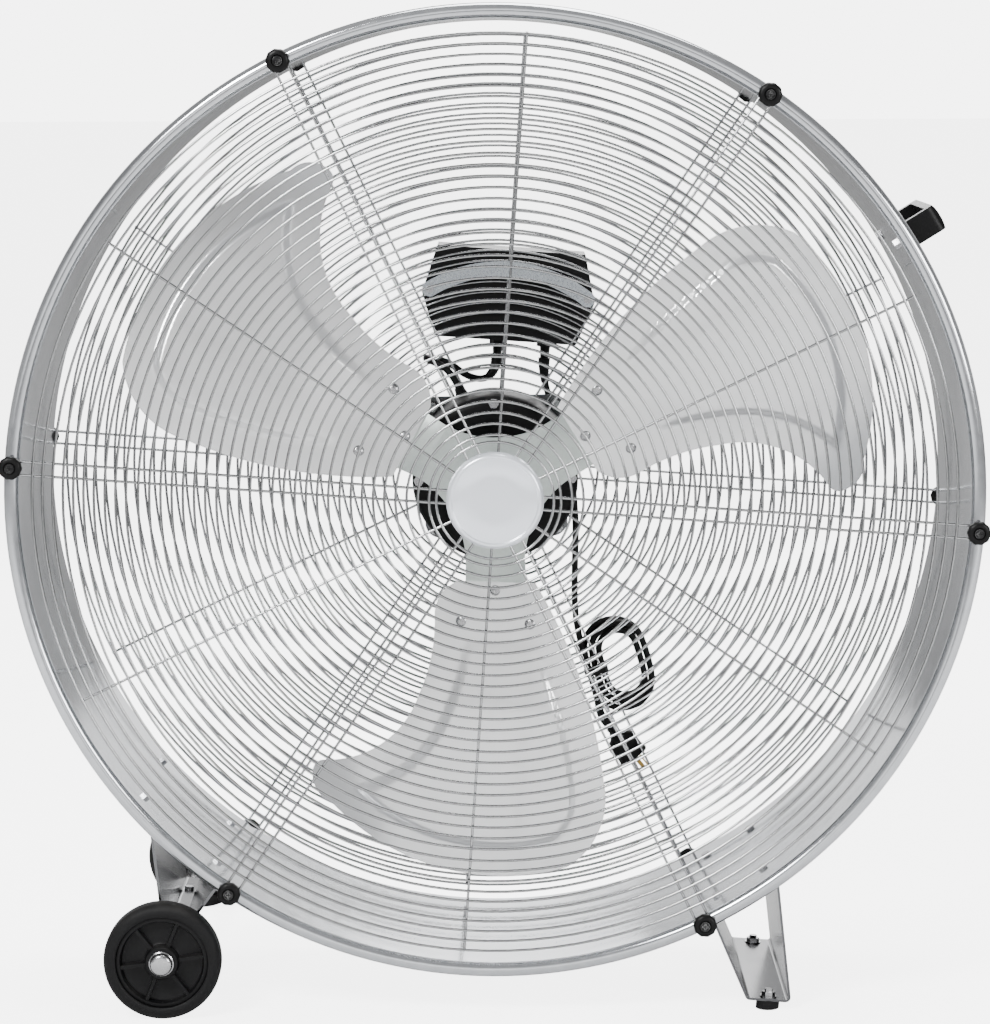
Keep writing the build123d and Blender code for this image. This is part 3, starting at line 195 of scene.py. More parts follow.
def makeDust(values):
    inputs = [("Amount", "NodeSocketFloat", 0.2)]
    group, entry, leave = newGroup("restingDust", inputs, [("Mask", "NodeSocketFloat")])
    shape = newNode(group, "NewGeometry")
    parts = newNode(group, "SeparateXYZ", {0: shape.outputs["Normal"]})
    facingUp = rangeNode(group, parts.outputs["Z"], *values["facing"])
    place = newNode(group, "TexCoord").outputs["Object"]
    inputs = {"Vector": place, "Scale": values["scale"], "Detail": values["detail"]}
    cloud = newNode(group, "TexNoise", inputs)
    soft = mathNode(group, "MULTIPLY", facingUp, rangeNode(group, cloud.outputs["Fac"], *values["patches"]))
    feed(group, leave.inputs["Mask"], mathNode(group, "MULTIPLY", soft, entry.outputs["Amount"]))
    return group


grainGroup = makeGrain(grainValues)
wearGroup = makeEdgeWear(wearValues)
dustGroup = makeDust(dustValues)


# what a look has where it says nothing else
plainLook = {
    "stretch": (1.0, 1.0, 1.0), "height": 0.0004, "wear": 0.3, "wearRadius": 0.0009, "dust": 0.15,
    "blotch": 0.9, "blotchShare": 0.3, "metal": 0.0, "coat": 0.0, "coatRough": 0.2, "shine": 0.5,
}
plainInputs = {
    "Metallic": "metal", "Coat Weight": "coat", "Coat Roughness": "coatRough", "Specular IOR Level": "shine",
}


def makeMaterial(name, look):
    look = {**plainLook, **look}
    material = bpy.data.materials.new(name)
    material.use_nodes = True
    tree = material.node_tree
    shader = tree.nodes["Principled BSDF"]
    grain = newNode(tree, "Group", node_tree=grainGroup)
    for label in ("Scale", "Stretch", "Depth", "Height"):
        grain.inputs[label].default_value = look[label.lower()]
    wear = newNode(tree, "Group", node_tree=wearGroup)
    wear.inputs["Radius"].default_value = look["wearRadius"]
    wear.inputs["Amount"].default_value = look["wear"]
    dust = newNode(tree, "Group", node_tree=dustGroup)
    dust.inputs["Amount"].default_value = look["dust"]
    colour = mixColours(tree, grain.outputs["Tone"], (*look["dark"], 1.0), (*look["light"], 1.0))
    shade = tuple(value * look["blotch"] for value in look["dark"])
    patches = mathNode(tree, "MULTIPLY", grain.outputs["Blotch"], look["blotchShare"])
    colour = mixColours(tree, patches, colour, (*shade, 1.0))
    colour = mixColours(tree, wear.outputs["Mask"], colour, (*look["worn"], 1.0))
    colour = mixColours(tree, dust.outputs["Mask"], colour, dustValues["colour"])
    low, high = look["rough"]
    feed(tree, shader.inputs["Base Color"], colour)
    feed(tree, shader.inputs["Roughness"], rangeNode(tree, grain.outputs["Tone"], 0.0, 1.0, low, high))
    feed(tree, shader.inputs["Normal"], grain.outputs["Normal"])
    for label, key in plainInputs.items():
        shader.inputs[label].default_value = look[key]
    return material


# one look for each material: colours are linear, scales are per metre
looks = {
    "drumPaint": {
        "dark": (0.52, 0.535, 0.56), "light": (0.60, 0.615, 0.64), "worn": (0.72, 0.72, 0.73),
        "rough": (0.09, 0.15), "metal": 0.88, "scale": 60.0, "depth": 0.015, "wear": 0.15, "dust": 0.05,
    },
    "zincWire": {
        "dark": (0.28, 0.285, 0.29), "light": (0.56, 0.565, 0.57), "worn": (0.7, 0.7, 0.7),
        "rough": (0.08, 0.17), "metal": 1.0, "scale": 900.0, "depth": 0.10, "height": 0.0002,
        "wear": 0.1, "dust": 0.03,
    },
    "bladeSheet": {
        "dark": (0.90, 0.905, 0.91), "light": (0.93, 0.935, 0.94), "worn": (0.94, 0.94, 0.94),
        "rough": (0.20, 0.25), "metal": 0.68, "scale": 1100.0, "depth": 0.02, "height": 0.0001,
        "wear": 0.0, "dust": 0.02, "blotch": 0.96,
    },
    "spiderSheet": {
        "dark": (0.50, 0.55, 0.525), "light": (0.58, 0.625, 0.60), "worn": (0.66, 0.68, 0.66),
        "rough": (0.32, 0.46), "metal": 0.55, "scale": 420.0, "depth": 0.06,
    },
    "capSheet": {
        "dark": (0.86, 0.90, 0.97), "light": (0.90, 0.935, 1.0), "worn": (0.95, 0.96, 0.98),
        "rough": (0.20, 0.26), "metal": 0.5, "scale": 700.0, "depth": 0.02, "coat": 0.15,
    },
    "strapSteel": {
        "dark": (0.44, 0.475, 0.51), "light": (0.54, 0.57, 0.60), "worn": (0.66, 0.68, 0.7),
        "rough": (0.22, 0.32), "metal": 0.9, "scale": 500.0, "depth": 0.05,
    },
    "bracketSteel": {
        "dark": (0.13, 0.132, 0.138), "light": (0.19, 0.192, 0.20), "worn": (0.45, 0.45, 0.46),
        "rough": (0.16, 0.26), "metal": 1.0, "scale": 800.0, "depth": 0.03, "height": 0.0002,
        "dust": 0.05,
    },
    "fastenerSteel": {
        "dark": (0.42, 0.42, 0.43), "light": (0.56, 0.56, 0.57), "worn": (0.7, 0.7, 0.7),
        "rough": (0.18, 0.30), "metal": 1.0, "scale": 800.0, "depth": 0.10, "wear": 0.4,
    },
    "blackCasting": {
        "dark": (0.0015, 0.0015, 0.0018), "light": (0.005, 0.005, 0.0056), "worn": (0.04, 0.04, 0.04),
        "rough": (0.36, 0.54), "scale": 700.0, "depth": 0.35, "wear": 0.25, "dust": 0.02, "shine": 0.14,
    },
    "coreSteel": {
        "dark": (0.07, 0.07, 0.075), "light": (0.17, 0.17, 0.18), "worn": (0.3, 0.3, 0.3),
        "rough": (0.35, 0.55), "metal": 0.8, "scale": 1200.0, "stretch": (0.02, 1.0, 0.02),
        "depth": 0.5, "height": 0.0006,
    },
    "copperWire": {
        "dark": (0.30, 0.10, 0.035), "light": (0.62, 0.26, 0.10), "worn": (0.8, 0.4, 0.2),
        "rough": (0.25, 0.45), "metal": 0.85, "scale": 1500.0, "stretch": (1.0, 0.1, 1.0),
        "depth": 0.6, "coat": 0.3,
    },
    "blackPlastic": {
        "dark": (0.0016, 0.0016, 0.0018), "light": (0.0045, 0.0045, 0.0048), "worn": (0.03, 0.03, 0.03),
        "rough": (0.30, 0.46), "scale": 1300.0, "depth": 0.30, "height": 0.0002,
        "wear": 0.2, "dust": 0.02, "shine": 0.16,
    },
    "cordJacket": {
        "dark": (0.002, 0.002, 0.002), "light": (0.005, 0.005, 0.0053), "worn": (0.02, 0.02, 0.02),
        "rough": (0.40, 0.58), "scale": 600.0, "depth": 0.20, "dust": 0.03, "shine": 0.18,
    },
    "tyreRubber": {
        "dark": (0.004, 0.004, 0.0043), "light": (0.009, 0.009, 0.0095), "worn": (0.035, 0.035, 0.035),
        "rough": (0.50, 0.68), "scale": 500.0, "depth": 0.4, "wear": 0.25, "dust": 0.05, "shine": 0.16,
    },
    "wheelPlastic": {
        "dark": (0.0018, 0.0018, 0.002), "light": (0.005, 0.005, 0.0055), "worn": (0.035, 0.035, 0.035),
        "rough": (0.30, 0.44), "scale": 900.0, "depth": 0.25, "wear": 0.25, "dust": 0.03, "shine": 0.18,
    },
    "pinBrass": {
        "dark": (0.55, 0.40, 0.16), "light": (0.78, 0.62, 0.30), "worn": (0.9, 0.8, 0.5),
        "rough": (0.20, 0.35), "metal": 1.0, "scale": 700.0, "depth": 0.1,
    },
    "screwBlack": {
        "dark": (0.012, 0.012, 0.0125), "light": (0.035, 0.035, 0.036), "worn": (0.4, 0.4, 0.4),
        "rough": (0.20, 0.32), "metal": 0.9, "scale": 1500.0, "depth": 0.10, "wear": 0.9,
    },
}
materials = {name: makeMaterial(name, look) for name, look in looks.items()}
print("materials made", len(materials))


# each point is x, depth, z in mm in the drum's frame, as in the CAD model's routes
cordPoints = {
    "powerCord": [
        (44, 290, 115), (44, 290, 94), (57, 282, 62), (71, 275, 28), (82, 271, -10),
        (89, 268, -52), (91, 265, -96), (93, 262.1, -136),
    ],
    "motorLead": [
        (-6, 290, 115), (-6, 290, 101), (-16, 283, 88), (-36, 275, 91), (-57, 271, 106),
    ],
    # in the hank's own directions: along it, to its side and back
    "hankEntry": [(-46, -7.7, 0), (-22, -7.7, 0)],
    "hankExit": [(22, -7.7, 7.7), (37, -7.7, 7.7)],
}
# the hank's end turns are stretched a little, and its layers change over a share of half a run
cordSizes = {
    "power": 7.0, "motor": 7.4, "leadTurn": (134.9, 126.0), "foldRear": 268.0,
    "foldFront": 249.0, "foldLean": 1.0, "leadAngle": 118.125, "motorRadius": 85.0,
    "motorSides": 32, "glandLength": 9.0, "leadStraight": 30.0, "glandDepth": 242.0,
    "plugStraight": 10.0, "hankRadius": 243.4, "hankSpoke": radians(-60.0),
    "hankTurn": radians(-70.0), "hankReach": 34.0, "hankPitch": 7.7, "hankHalfRun": 15.0,
    "hankDepth": 262.1, "hankLayers": 2, "hankRuns": 4, "crossShare": 0.3, "endWide": 1.06,
    "endTall": 1.04, "plugPlace": (137.0, 270.6, -268.0), "plugAngle": radians(-47.4),
}


def hankPlace(along, side, back):
    turn = cordSizes["hankTurn"]
    startX, startZ = turned(cordSizes["hankRadius"], 0.0, cordSizes["hankSpoke"])
    x, z = turned(along, side, turn)
    return (startX + x, cordSizes["hankDepth"] + back, startZ + z)


def hankPoints():
    pitch = cordSizes["hankPitch"]
    reach = cordSizes["hankReach"]
    half = cordSizes["hankHalfRun"]
    layers = cordSizes["hankLayers"]
    perLayer = cordSizes["hankRuns"]
    cross = half * cordSizes["crossShare"]
    runs = perLayer * layers + 1
    points = []

    def sideOf(run):
        inward = (perLayer - abs(perLayer - run % (2 * perLayer))) * pitch / 2
        across = reach - inward
        middle = reach - pitch
        return middle - across if run % 2 == 0 else middle + across

    for run in range(runs):
        way = 1 if run % 2 == 0 else -1
        layer = max(0, (run - 1) // perLayer)
        nextLayer = min(run // perLayer, layers - 1)
        before = cordSizes["power"] if run == 0 else 0.0
        after = cordSizes["power"] if run == runs - 1 else 0.0
        side = sideOf(run)
        points.append((-way * (half + before), side, layer * pitch))
        if layer != nextLayer:
            points.append((-way * cross, side, layer * pitch))
            points.append((way * cross, side, nextLayer * pitch))
        points.append((way * (half + after), side, nextLayer * pitch))
        if run < runs - 1:
            nextSide = sideOf(run + 1)
            fold = abs(nextSide - side) / 2
            middle = (nextSide + side) / 2
            for turn in range(30, 180, 30):
                swing = radians(turn)
                over = (side - middle) * cos(swing) * cordSizes["endTall"]
                out = way * (half + fold * cordSizes["endWide"] * sin(swing))
                points.append((out, middle + over, nextLayer * pitch))
    return [hankPlace(*point) for point in points]


def standFor(node):
    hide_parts(node)


def addCord(name, node, points, diameter):
    data = bpy.data.curves.new(name, "CURVE")
    data.dimensions = "3D"
    data.bevel_depth = diameter / 2000
    data.bevel_resolution = 5
    data.resolution_u = 8
    data.use_fill_caps = True
    spline = data.splines.new("NURBS")
    spline.points.add(len(points) - 1)
    for point, place in zip(spline.points, points):
        point.co = (*inWorld(place), 1.0)
    spline.order_u = 3
    spline.use_endpoint_u = True
    piece = placeObject(name, data)
    data.materials.append(materials["cordJacket"])
    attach(piece, "fan_frame")
    standFor(node)
    return piece


def aroundAxis(radius, angle):
    return turned(radius, 0.0, radians(angle))


def addCords():
    power = cordPoints["powerCord"] + [hankPlace(*point) for point in cordPoints["hankEntry"]]
    powerCord = addCord("powerCordRun", "power_cord", power, cordSizes["power"])
    hank = addCord("cordHankTurns", "cord_hank", hankPoints(), cordSizes["power"])
    plugX, plugDepth, plugZ = cordSizes["plugPlace"]
    swing = cordSizes["plugAngle"]
    straight = cordSizes["plugStraight"]
    beforePlug = (plugX - straight * cos(swing), plugDepth, plugZ - straight * sin(swing))
    tail = [hankPlace(*point) for point in cordPoints["hankExit"]]
    tail += [beforePlug, cordSizes["plugPlace"]]
    plugLead = addCord("plugTail", "plug_lead", tail, cordSizes["power"])
    turnX, turnZ = aroundAxis(*cordSizes["leadTurn"])
    flat = cordSizes["motorRadius"] * cos(pi / cordSizes["motorSides"])
    outX, outZ = aroundAxis(flat + cordSizes["leadStraight"], cordSizes["leadAngle"])
    entryX, entryZ = aroundAxis(flat + cordSizes["glandLength"], cordSizes["leadAngle"])
    gland = cordSizes["glandDepth"]
    motor = cordPoints["motorLead"] + [
        (turnX, cordSizes["foldRear"], turnZ), (turnX - cordSizes["foldLean"], cordSizes["foldFront"], turnZ),
        (outX, gland, outZ), (entryX, gland, entryZ),
    ]
    motorLead = addCord("motorLeadRun", "motor_lead", motor, cordSizes["motor"])
    return powerCord, hank, plugLead, motorLead


powerCord, hankCord, plugCord, motorCord = addCords()
print("cords laid")


def addPiece(name, points, faces, body, material, sharp=32.0, placed=False):
    mesh = bpy.data.meshes.new(name)
    mesh.from_pydata(points if placed else [inWorld(point) for point in points], [], faces)
    shape = bmesh.new()
    shape.from_mesh(mesh)
    bmesh.ops.remove_doubles(shape, verts=shape.verts, dist=0.000001)
    bmesh.ops.recalc_face_normals(shape, faces=shape.faces)
    shape.to_mesh(mesh)
    shape.free()
    for polygon in mesh.polygons:
        polygon.use_smooth = True
    mesh.set_sharp_from_angle(angle=radians(sharp))
    piece = placeObject(name, mesh)
    mesh.materials.append(materials[material])
    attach(piece, body)
    return piece


def softenEdges(piece, width, segments=2, limit=35.0):
    bevel = piece.modifiers.new("softEdges", "BEVEL")
    bevel.width = width / 1000
    bevel.segments = segments
    bevel.limit_method = "ANGLE"
    bevel.angle_limit = radians(limit)
    bevel.harden_normals = False


def bandFaces(faces, start, rings, count, ringsClose, countCloses):
    # quads between rings of points that follow each other in the list
    for ring in range(rings if ringsClose else rings - 1):
        here = start + ring * count
        there = start + (ring + 1) % rings * count
        for index in range(count if countCloses else count - 1):
            after = (index + 1) % count
            faces.append((here + index, here + after, there + after, there + index))


# a turned profile's radius in mm where it closes on its axis
onAxis = 0.001


def standOff(profile, level, toward):
    # the profile's rises, counted from a face towards the front (-1) or the rear (1)
    return [(radius, level + toward * rise) for radius, rise in profile]


def mirrored(half, total):
    return half + [(radius, total - level) for radius, level in reversed(half)]


def turnsOf(count):
    return [2 * pi * step / count for step in range(count)]


def latheParts(profile, centre, segments, points, faces, closed=True):
    start = len(points)
    centreX, centreZ = centre
    for turn in turnsOf(segments):
        for radius, depth in profile:
            x, z = turned(radius, 0.0, turn)
            points.append((centreX + x, depth, centreZ + z))
    bandFaces(faces, start, segments, len(profile), True, closed)


def lathe(name, profile, body, material, centre=(0.0, 0.0), segments=96, closed=True, sharp=32.0):
    points, faces = [], []
    latheParts(profile, centre, segments, points, faces, closed)
    return addPiece(name, points, faces, body, material, sharp)


def arcPoints(centre, radius, start, end, steps):
    turns = [radians(start + (end - start) * step / steps) for step in range(steps + 1)]
    return [(centre[0] + radius * cos(turn), centre[1] + radius * sin(turn)) for turn in turns]


def circlePoints(centre, radius, sides):
    return arcPoints(centre, radius, 0, 360 - 360 / sides, sides - 1)


def loopEdges(count, start=0):
    return [(start + index, start + (index + 1) % count) for index in range(count)]


def tubeParts(path, depth, radius, sides, points, faces, closed):
    start = len(points)
    count = len(path)
    for index, (x, z) in enumerate(path):
        before = path[index - 1] if closed or index > 0 else path[0]
        after = path[(index + 1) % count] if closed or index < count - 1 else path[-1]
        along = Vector((after[0] - before[0], after[1] - before[1])).normalized()
        for side in range(sides):
            turn = 2 * pi * (side + 0.5) / sides
            out = radius * cos(turn)
            points.append((x - along.y * out, depth + radius * sin(turn), z + along.x * out))
    bandFaces(faces, start, count, sides, closed, True)
    if not closed:
        faces.append(tuple(range(start, start + sides)))
        faces.append(tuple(range(start + (count - 1) * sides, start + count * sides)))


# the full set of rings, with radii read from the photograph in mm
grilleValues = {
    "wire": 2.8,
    "innerRings": [57.3, 64.3],
    "firstRing": 75.2, "ringPitch": 10.87, "evenRings": 26,
    "outerRings": [358.7, 369.0, 379.4, 390.0, 400.0, 410.0, 420.0, 430.0, 440.0, 450.0],
    "wireSides": 8, "segments": 128, "smallRing": 150.0, "smallSegments": 64, "endSteps": 10,
    "spokePairs": 6, "pairHalf": 6.5, "hubRadius": 38.0, "clampRadius": 471.5,
    "singleEnd": 452.0,
    # the spokes' depth, the rings' depth and the radius where the rings start
    "front": (-8.9, -11.6, 0.0), "rear": (256.9, 254.15, 100.0),
}


def grille(name, node, spokeDepth, ringDepth, firstRadius, values):
    points, faces = [], []
    wireRadius = values["wire"] / 2
    sides = values["wireSides"]
    half = values["pairHalf"]
    steps = values["endSteps"]
    outer = arcPoints((values["clampRadius"], 0), half, -90, 90, steps)
    inner = arcPoints((values["hubRadius"], 0), half, 90, 270, steps)
    single = [(values["hubRadius"], 0.0), (values["singleEnd"] / 2, 0.0), (values["singleEnd"], 0.0)]
    evenRings = [values["firstRing"] + values["ringPitch"] * i for i in range(values["evenRings"])]
    for radius in values["innerRings"] + evenRings + values["outerRings"]:
        if radius < firstRadius:
            continue
        segments = values["smallSegments"] if radius < values["smallRing"] else values["segments"]
        path = circlePoints((0, 0), radius, segments)
        tubeParts(path, ringDepth, wireRadius, sides, points, faces, True)
    for pair in range(values["spokePairs"]):
        for line, share, closed in ((outer + inner, 0.0, True), (single, 0.5, False)):
            turn = radians(360.0 / values["spokePairs"] * (pair + share))
            path = [turned(x, z, turn) for x, z in line]
            tubeParts(path, spokeDepth, wireRadius, sides, points, faces, closed)
    piece = addPiece(name, points, faces, "fan_frame", "zincWire", 60.0)
    standFor(node)


for side in ("front", "rear"):
    grille(f"{side}GrilleWires", f"{side}_grille", *grilleValues[side], grilleValues)
print("grilles wound")


drumValues = {
    "bore": 464.0, "wall": 1.2, "bead": 7.5, "beadSides": 20, "length": 248.0, "lip": 2.0,
    "inset": 12.0, "segments": 192,
}


def drumShell(values):
    points, faces = [], []
    bore, length = values["bore"], values["length"]
    near, far = -values["lip"], length + values["lip"]
    outside = (near, values["inset"], length / 2, length - values["inset"], far)
    wallProfile = [(bore, near)] + [(bore + values["wall"], depth) for depth in outside]
    wallProfile += [(bore, far), (bore, length / 2)]
    latheParts(wallProfile, (0, 0), values["segments"], points, faces)
    for depth in (0.0, length):
        bead = circlePoints((bore + values["bead"], depth), values["bead"], values["beadSides"])
        latheParts(bead, (0, 0), values["segments"], points, faces)
    piece = addPiece("drumShellSheet", points, faces, "fan_frame", "drumPaint", 40.0)
    standFor("drum_shell")


drumShell(drumValues)
print("drum rolled")


knobValues = {
    "radius": 11.7, "height": 9.0, "lobes": 10, "lobeDepth": 0.5, "lobeStart": 0.9,
    "segments": 60, "count": 6, "clampRadius": 471.5, "frontFace": -10.3, "rearFace": 258.3,
}


def knobCentres(values):
    count = values["count"]
    return [aroundAxis(values["clampRadius"], 360 / count * knob) for knob in range(count)]


def clampKnobs(name, node, face, toward, values):
    points, faces = [], []
    radius = values["radius"]
    height = values["height"]
    profile = [
        (2.6, 0.0), (radius * 0.86, 0.0), (radius * 0.97, 0.8), (radius, 2.2), (radius, height * 0.55),
        (radius * 0.96, height * 0.78), (radius * 0.84, height * 0.93), (radius * 0.66, height),
        (radius * 0.52, height), (radius * 0.44, height * 0.86), (2.6, height * 0.84),
    ]
    for centreX, centreZ in knobCentres(values):
        start = len(points)
        for turn in turnsOf(values["segments"]):
            lobe = values["lobeDepth"] * (1 - cos(values["lobes"] * turn)) / 2
            for out, rise in profile:
                reach = out - lobe if out > radius * values["lobeStart"] else out
                x, z = turned(reach, 0.0, turn)
                points.append((centreX + x, face + toward * rise, centreZ + z))
        bandFaces(faces, start, values["segments"], len(profile), True, True)
    piece = addPiece(name, points, faces, "fan_frame", "blackPlastic", 40.0)
    standFor(node)


for side, toward in (("front", -1), ("rear", 1)):
    clampKnobs(f"{side}ClampKnobs", f"{side}_knobs", knobValues[f"{side}Face"], toward, knobValues)
print("knobs turned")


screwValues = {
    "head": 4.6, "rimSides": 24, "recess": 0.9, "slotHalf": 0.75, "slotReach": 2.9, "dome": 0.5,
    "seatShare": 0.84, "shank": 2.0, "shankTop": 7.0, "shankSides": 16,
}


def crossScrews(name, node, toward, values):
    # a domed head with a cross-shaped recess, over the CAD shank's end
    half, reach = values["slotHalf"], values["slotReach"]
    corner = [(half, half), (reach, half), (reach, -half)]
    cross = []
    for quarter in range(4):
        cross += corner
        corner = [(z, -x) for x, z in corner]
    rim = circlePoints((0, 0), values["head"], values["rimSides"])
    corners, rimCount = len(cross), len(rim)
    edges = loopEdges(corners) + loopEdges(rimCount, corners)
    flatPoints = [Vector(point) for point in cross + rim]
    verts, _, triangles, _, _, _ = delaunay_2d_cdt(flatPoints, edges, [], 1, 0.0001)
    count = len(verts)
    ends = sorted(corner[1] * 1000 + stance["depthMiddle"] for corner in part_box(node))
    front, tip = ends if toward < 0 else reversed(ends)
    seat = knobValues["frontFace"] if toward < 0 else knobValues["rearFace"]
    points, faces = [], []
    for centreX, centreZ in knobCentres(knobValues):
        start = len(points)
        for level in (0.0, -values["recess"]):
            for x, z in verts:
                dome = values["dome"] * (1 - (x * x + z * z) / values["head"] ** 2)
                points.append((centreX + x, front - toward * (values["dome"] - dome - level), centreZ + z))
        for triangle in triangles:
            middle = sum((verts[index] for index in triangle), Vector((0, 0))) / 3
            floor = count if insideOutline(middle, cross) else 0
            faces.append(tuple(start + floor + index for index in triangle))
        for index, after in loopEdges(corners):
            faces.append((start + index, start + after, start + count + after, start + count + index))
        base = len(points)
        under = seat + toward * knobValues["height"] * values["seatShare"]
        points += [(centreX + x, under, centreZ + z) for x, z in rim]
        outer = start + corners
        for index, after in loopEdges(rimCount):
            faces.append((outer + index, outer + after, base + after, base + index))
        faces.append(tuple(base + index for index in range(rimCount)))
        top = seat + toward * values["shankTop"]
        shank = [(onAxis, top), (values["shank"], top), (values["shank"], tip), (onAxis, tip)]
        latheParts(shank, (centreX, centreZ), values["shankSides"], points, faces, closed=False)
    piece = addPiece(name, points, faces, "fan_frame", "screwBlack", 30.0)
    standFor(node)


capValues = {"radius": 47.6, "flat": 42.0, "height": 7.7, "wall": 1.6, "face": -10.3, "segments": 128}


def hubCap(values):
    height, wall = values["height"], values["wall"]
    flat = values["flat"]
    radius = values["radius"]
    profile = [
        (onAxis, 0.9), (flat * 0.5, 0.9), (flat - 1.6, 0.9), (flat - 0.9, 1.3), (flat - 0.4, 1.2),
        (flat + 0.2, 0.4), (flat + 0.9, 0.0), (flat + 1.9, 0.2), (flat + 3.0, 1.0), (flat + 4.0, 2.2),
        (flat + 4.8, 3.8), (radius - 0.4, height - 2.6), (radius, height - 1.2), (radius, height),
        (radius - wall, height), (flat + 1.0, 3.4), (flat - 3.0, 2.8), (onAxis, 0.9 + wall),
    ]
    profile = standOff(profile, values["face"] - height, 1)
    segments = values["segments"]
    piece = lathe("hubCapDish", profile, "fan_frame", "capSheet", segments=segments, closed=False, sharp=50.0)
    standFor("hub_cap")


hubCap(capValues)


wheelValues = {
    "x": -297.7, "z": -481.4,
    "radius": 58.4, "rim": 46.0, "width": 30.0, "boss": 17.0, "bore": 8.05,
    "ribs": 6, "ribTurn": 12.0, "ribFoot": 2.5, "ribCrest": 1.6, "gap": 0.3,
    "tyreSegments": 112, "hubSegments": 96, "capSegments": 64,
    "frontDepth": -22.0, "rearDepth": 414.0, "capRadius": 12.3, "capLength": 8.3,
}


def wheel(prefix, depth, values):
    near = depth + values["gap"]
    far = depth + values["width"] - values["gap"]
    centre = (values["x"], values["z"])
    radius = values["radius"]
    inner = values["rim"] + 0.05
    shoulder = [
        (inner, near + 1.0), (inner + 1.0, near + 0.2), (radius - 8.0, near), (radius - 5.0, near + 0.8),
        (radius - 2.2, near + 2.8), (radius - 0.6, near + 5.6), (radius, near + 9.0),
    ]
    section = mirrored(shoulder, near + far)
    body = f"{prefix}_wheel"
    tyre = lathe(
        f"{prefix}TyreRubber", section, body, "tyreRubber", centre, values["tyreSegments"], sharp=50.0,
    )
    standFor(f"{prefix}_wheel_tyre")
    rim = values["rim"]
    boss = values["boss"]
    middle = (near + far) / 2
    half = [
        (rim, middle - 11.0), (rim - 0.8, near + 3.2), (rim - 4.2, near + 3.0), (rim - 5.0, near + 4.0),
        (rim - 6.2, middle - 4.2), (rim - 8.0, middle - 3.5), (boss + 2.6, middle - 3.5),
        (boss + 0.6, middle - 4.6), (boss - 0.4, near + 1.0), (boss - 1.4, near), (values["bore"], near),
    ]
    points, faces = [], []
    latheParts(mirrored(half, near + far), centre, values["hubSegments"], points, faces)
    foot, crest = values["ribFoot"], values["ribCrest"]
    for rib in range(values["ribs"]):
        turn = radians(360.0 / values["ribs"] * rib + values["ribTurn"])
        for top, bottom in ((near + 4.0, middle - 3.0), (far - 4.0, middle + 3.0)):
            start = len(points)
            section = ((-foot, bottom), (-crest, top), (crest, top), (foot, bottom))
            for along in (boss - 1.0, rim - 4.8):
                for across, level in section:
                    x, z = turned(along, across, turn)
                    points.append((centre[0] + x, level, centre[1] + z))
            faces.append((start, start + 1, start + 2, start + 3))
            faces.append((start + 7, start + 6, start + 5, start + 4))
            bandFaces(faces, start, 2, 4, False, True)
    hub = addPiece(f"{prefix}WheelHubRibbed", points, faces, body, "wheelPlastic", 40.0)
    standFor(f"{prefix}_wheel_hub")


for side in ("front", "rear"):
    wheel(side, wheelValues[f"{side}Depth"], wheelValues)


def axleCaps(values):
    points, faces = [], []
    centre = (values["x"], values["z"])
    radius = values["capRadius"]
    length = values["capLength"]
    rearFace = values["rearDepth"] + values["width"]
    profile = [
        (onAxis, 0.0), (radius, 0.0), (radius, 1.6), (radius - 1.0, 2.4), (radius - 1.6, length - 2.6),
        (radius - 3.2, length - 0.7), (radius - 5.6, length), (onAxis, length),
    ]
    for face, toward in ((values["frontDepth"], -1), (rearFace, 1)):
        section = standOff(profile, face, toward)
        latheParts(section, centre, values["capSegments"], points, faces, closed=False)
    piece = addPiece("axleEndCaps", points, faces, "fan_frame", "fastenerSteel", 35.0)
    standFor("axle_caps")


axleCaps(wheelValues)
print("wheels turned")


# each arc starts where the one before it ends: its end, then a point between, or None for a line
# both are shares of the blade's reach, out along it and across it
bladeValues = {
    "radius": 399.0, "sheet": 1.5, "pitch": radians(16.0), "bow": 600.0, "flatHalf": 60.0,
    "depth": 86.0, "restAngle": 34.081, "count": 3,
    "panelInset": 33.0, "panelStart": 190.0, "panelFade": 75.0, "panelRise": 9.0, "panelBlend": 7.5,
    "spacing": 3.4, "edgeStep": 3.5, "straightSteps": 12, "edgeKeep": 0.55, "rowShare": 0.87,
    "gridAcross": (0.5, 0.3), "gridOut": (0.2, 1.02),
    "arcs": [
        ((0.238, 0.100), None), ((0.737, 0.271), (0.451, 0.203)),
        ((0.962, 0.180), (0.872, 0.256)), ((0.840, -0.426), (0.998, -0.023)),
        ((0.764, -0.476), (0.810, -0.466)), ((0.729, -0.446), (0.742, -0.469)),
        ((0.534, -0.195), (0.672, -0.293)), ((0.326, -0.155), (0.414, -0.160)),
        ((0.241, -0.095), (0.276, -0.138)),
    ],
    "rivets": [(104.0, 0.0), (137.0, 36.0), (137.0, -36.0)],
    "rivetHead": 5.5, "rivetHeight": 2.0, "rivetSides": 24, "spiderSheet": 3.0,
}


def threePointArc(start, end, through, step):
    ax, ay = start
    bx, by = through
    cx, cy = end
    size = 2 * (ax * (by - cy) + bx * (cy - ay) + cx * (ay - by))
    ux = ((ax**2 + ay**2) * (by - cy) + (bx**2 + by**2) * (cy - ay) + (cx**2 + cy**2) * (ay - by)) / size
    uy = ((ax**2 + ay**2) * (cx - bx) + (bx**2 + by**2) * (ax - cx) + (cx**2 + cy**2) * (bx - ax)) / size
    radius = hypot(ax - ux, ay - uy)
    first = atan2(ay - uy, ax - ux)
    middle = atan2(by - uy, bx - ux)
    last = atan2(cy - uy, cx - ux)
    forward = (last - first) % (2 * pi)
    if (middle - first) % (2 * pi) > forward:
        forward -= 2 * pi
    count = max(3, int(abs(forward) * radius / step))
    return [
        (ux + radius * cos(first + forward * i / count), uy + radius * sin(first + forward * i / count))
        for i in range(count)
    ]


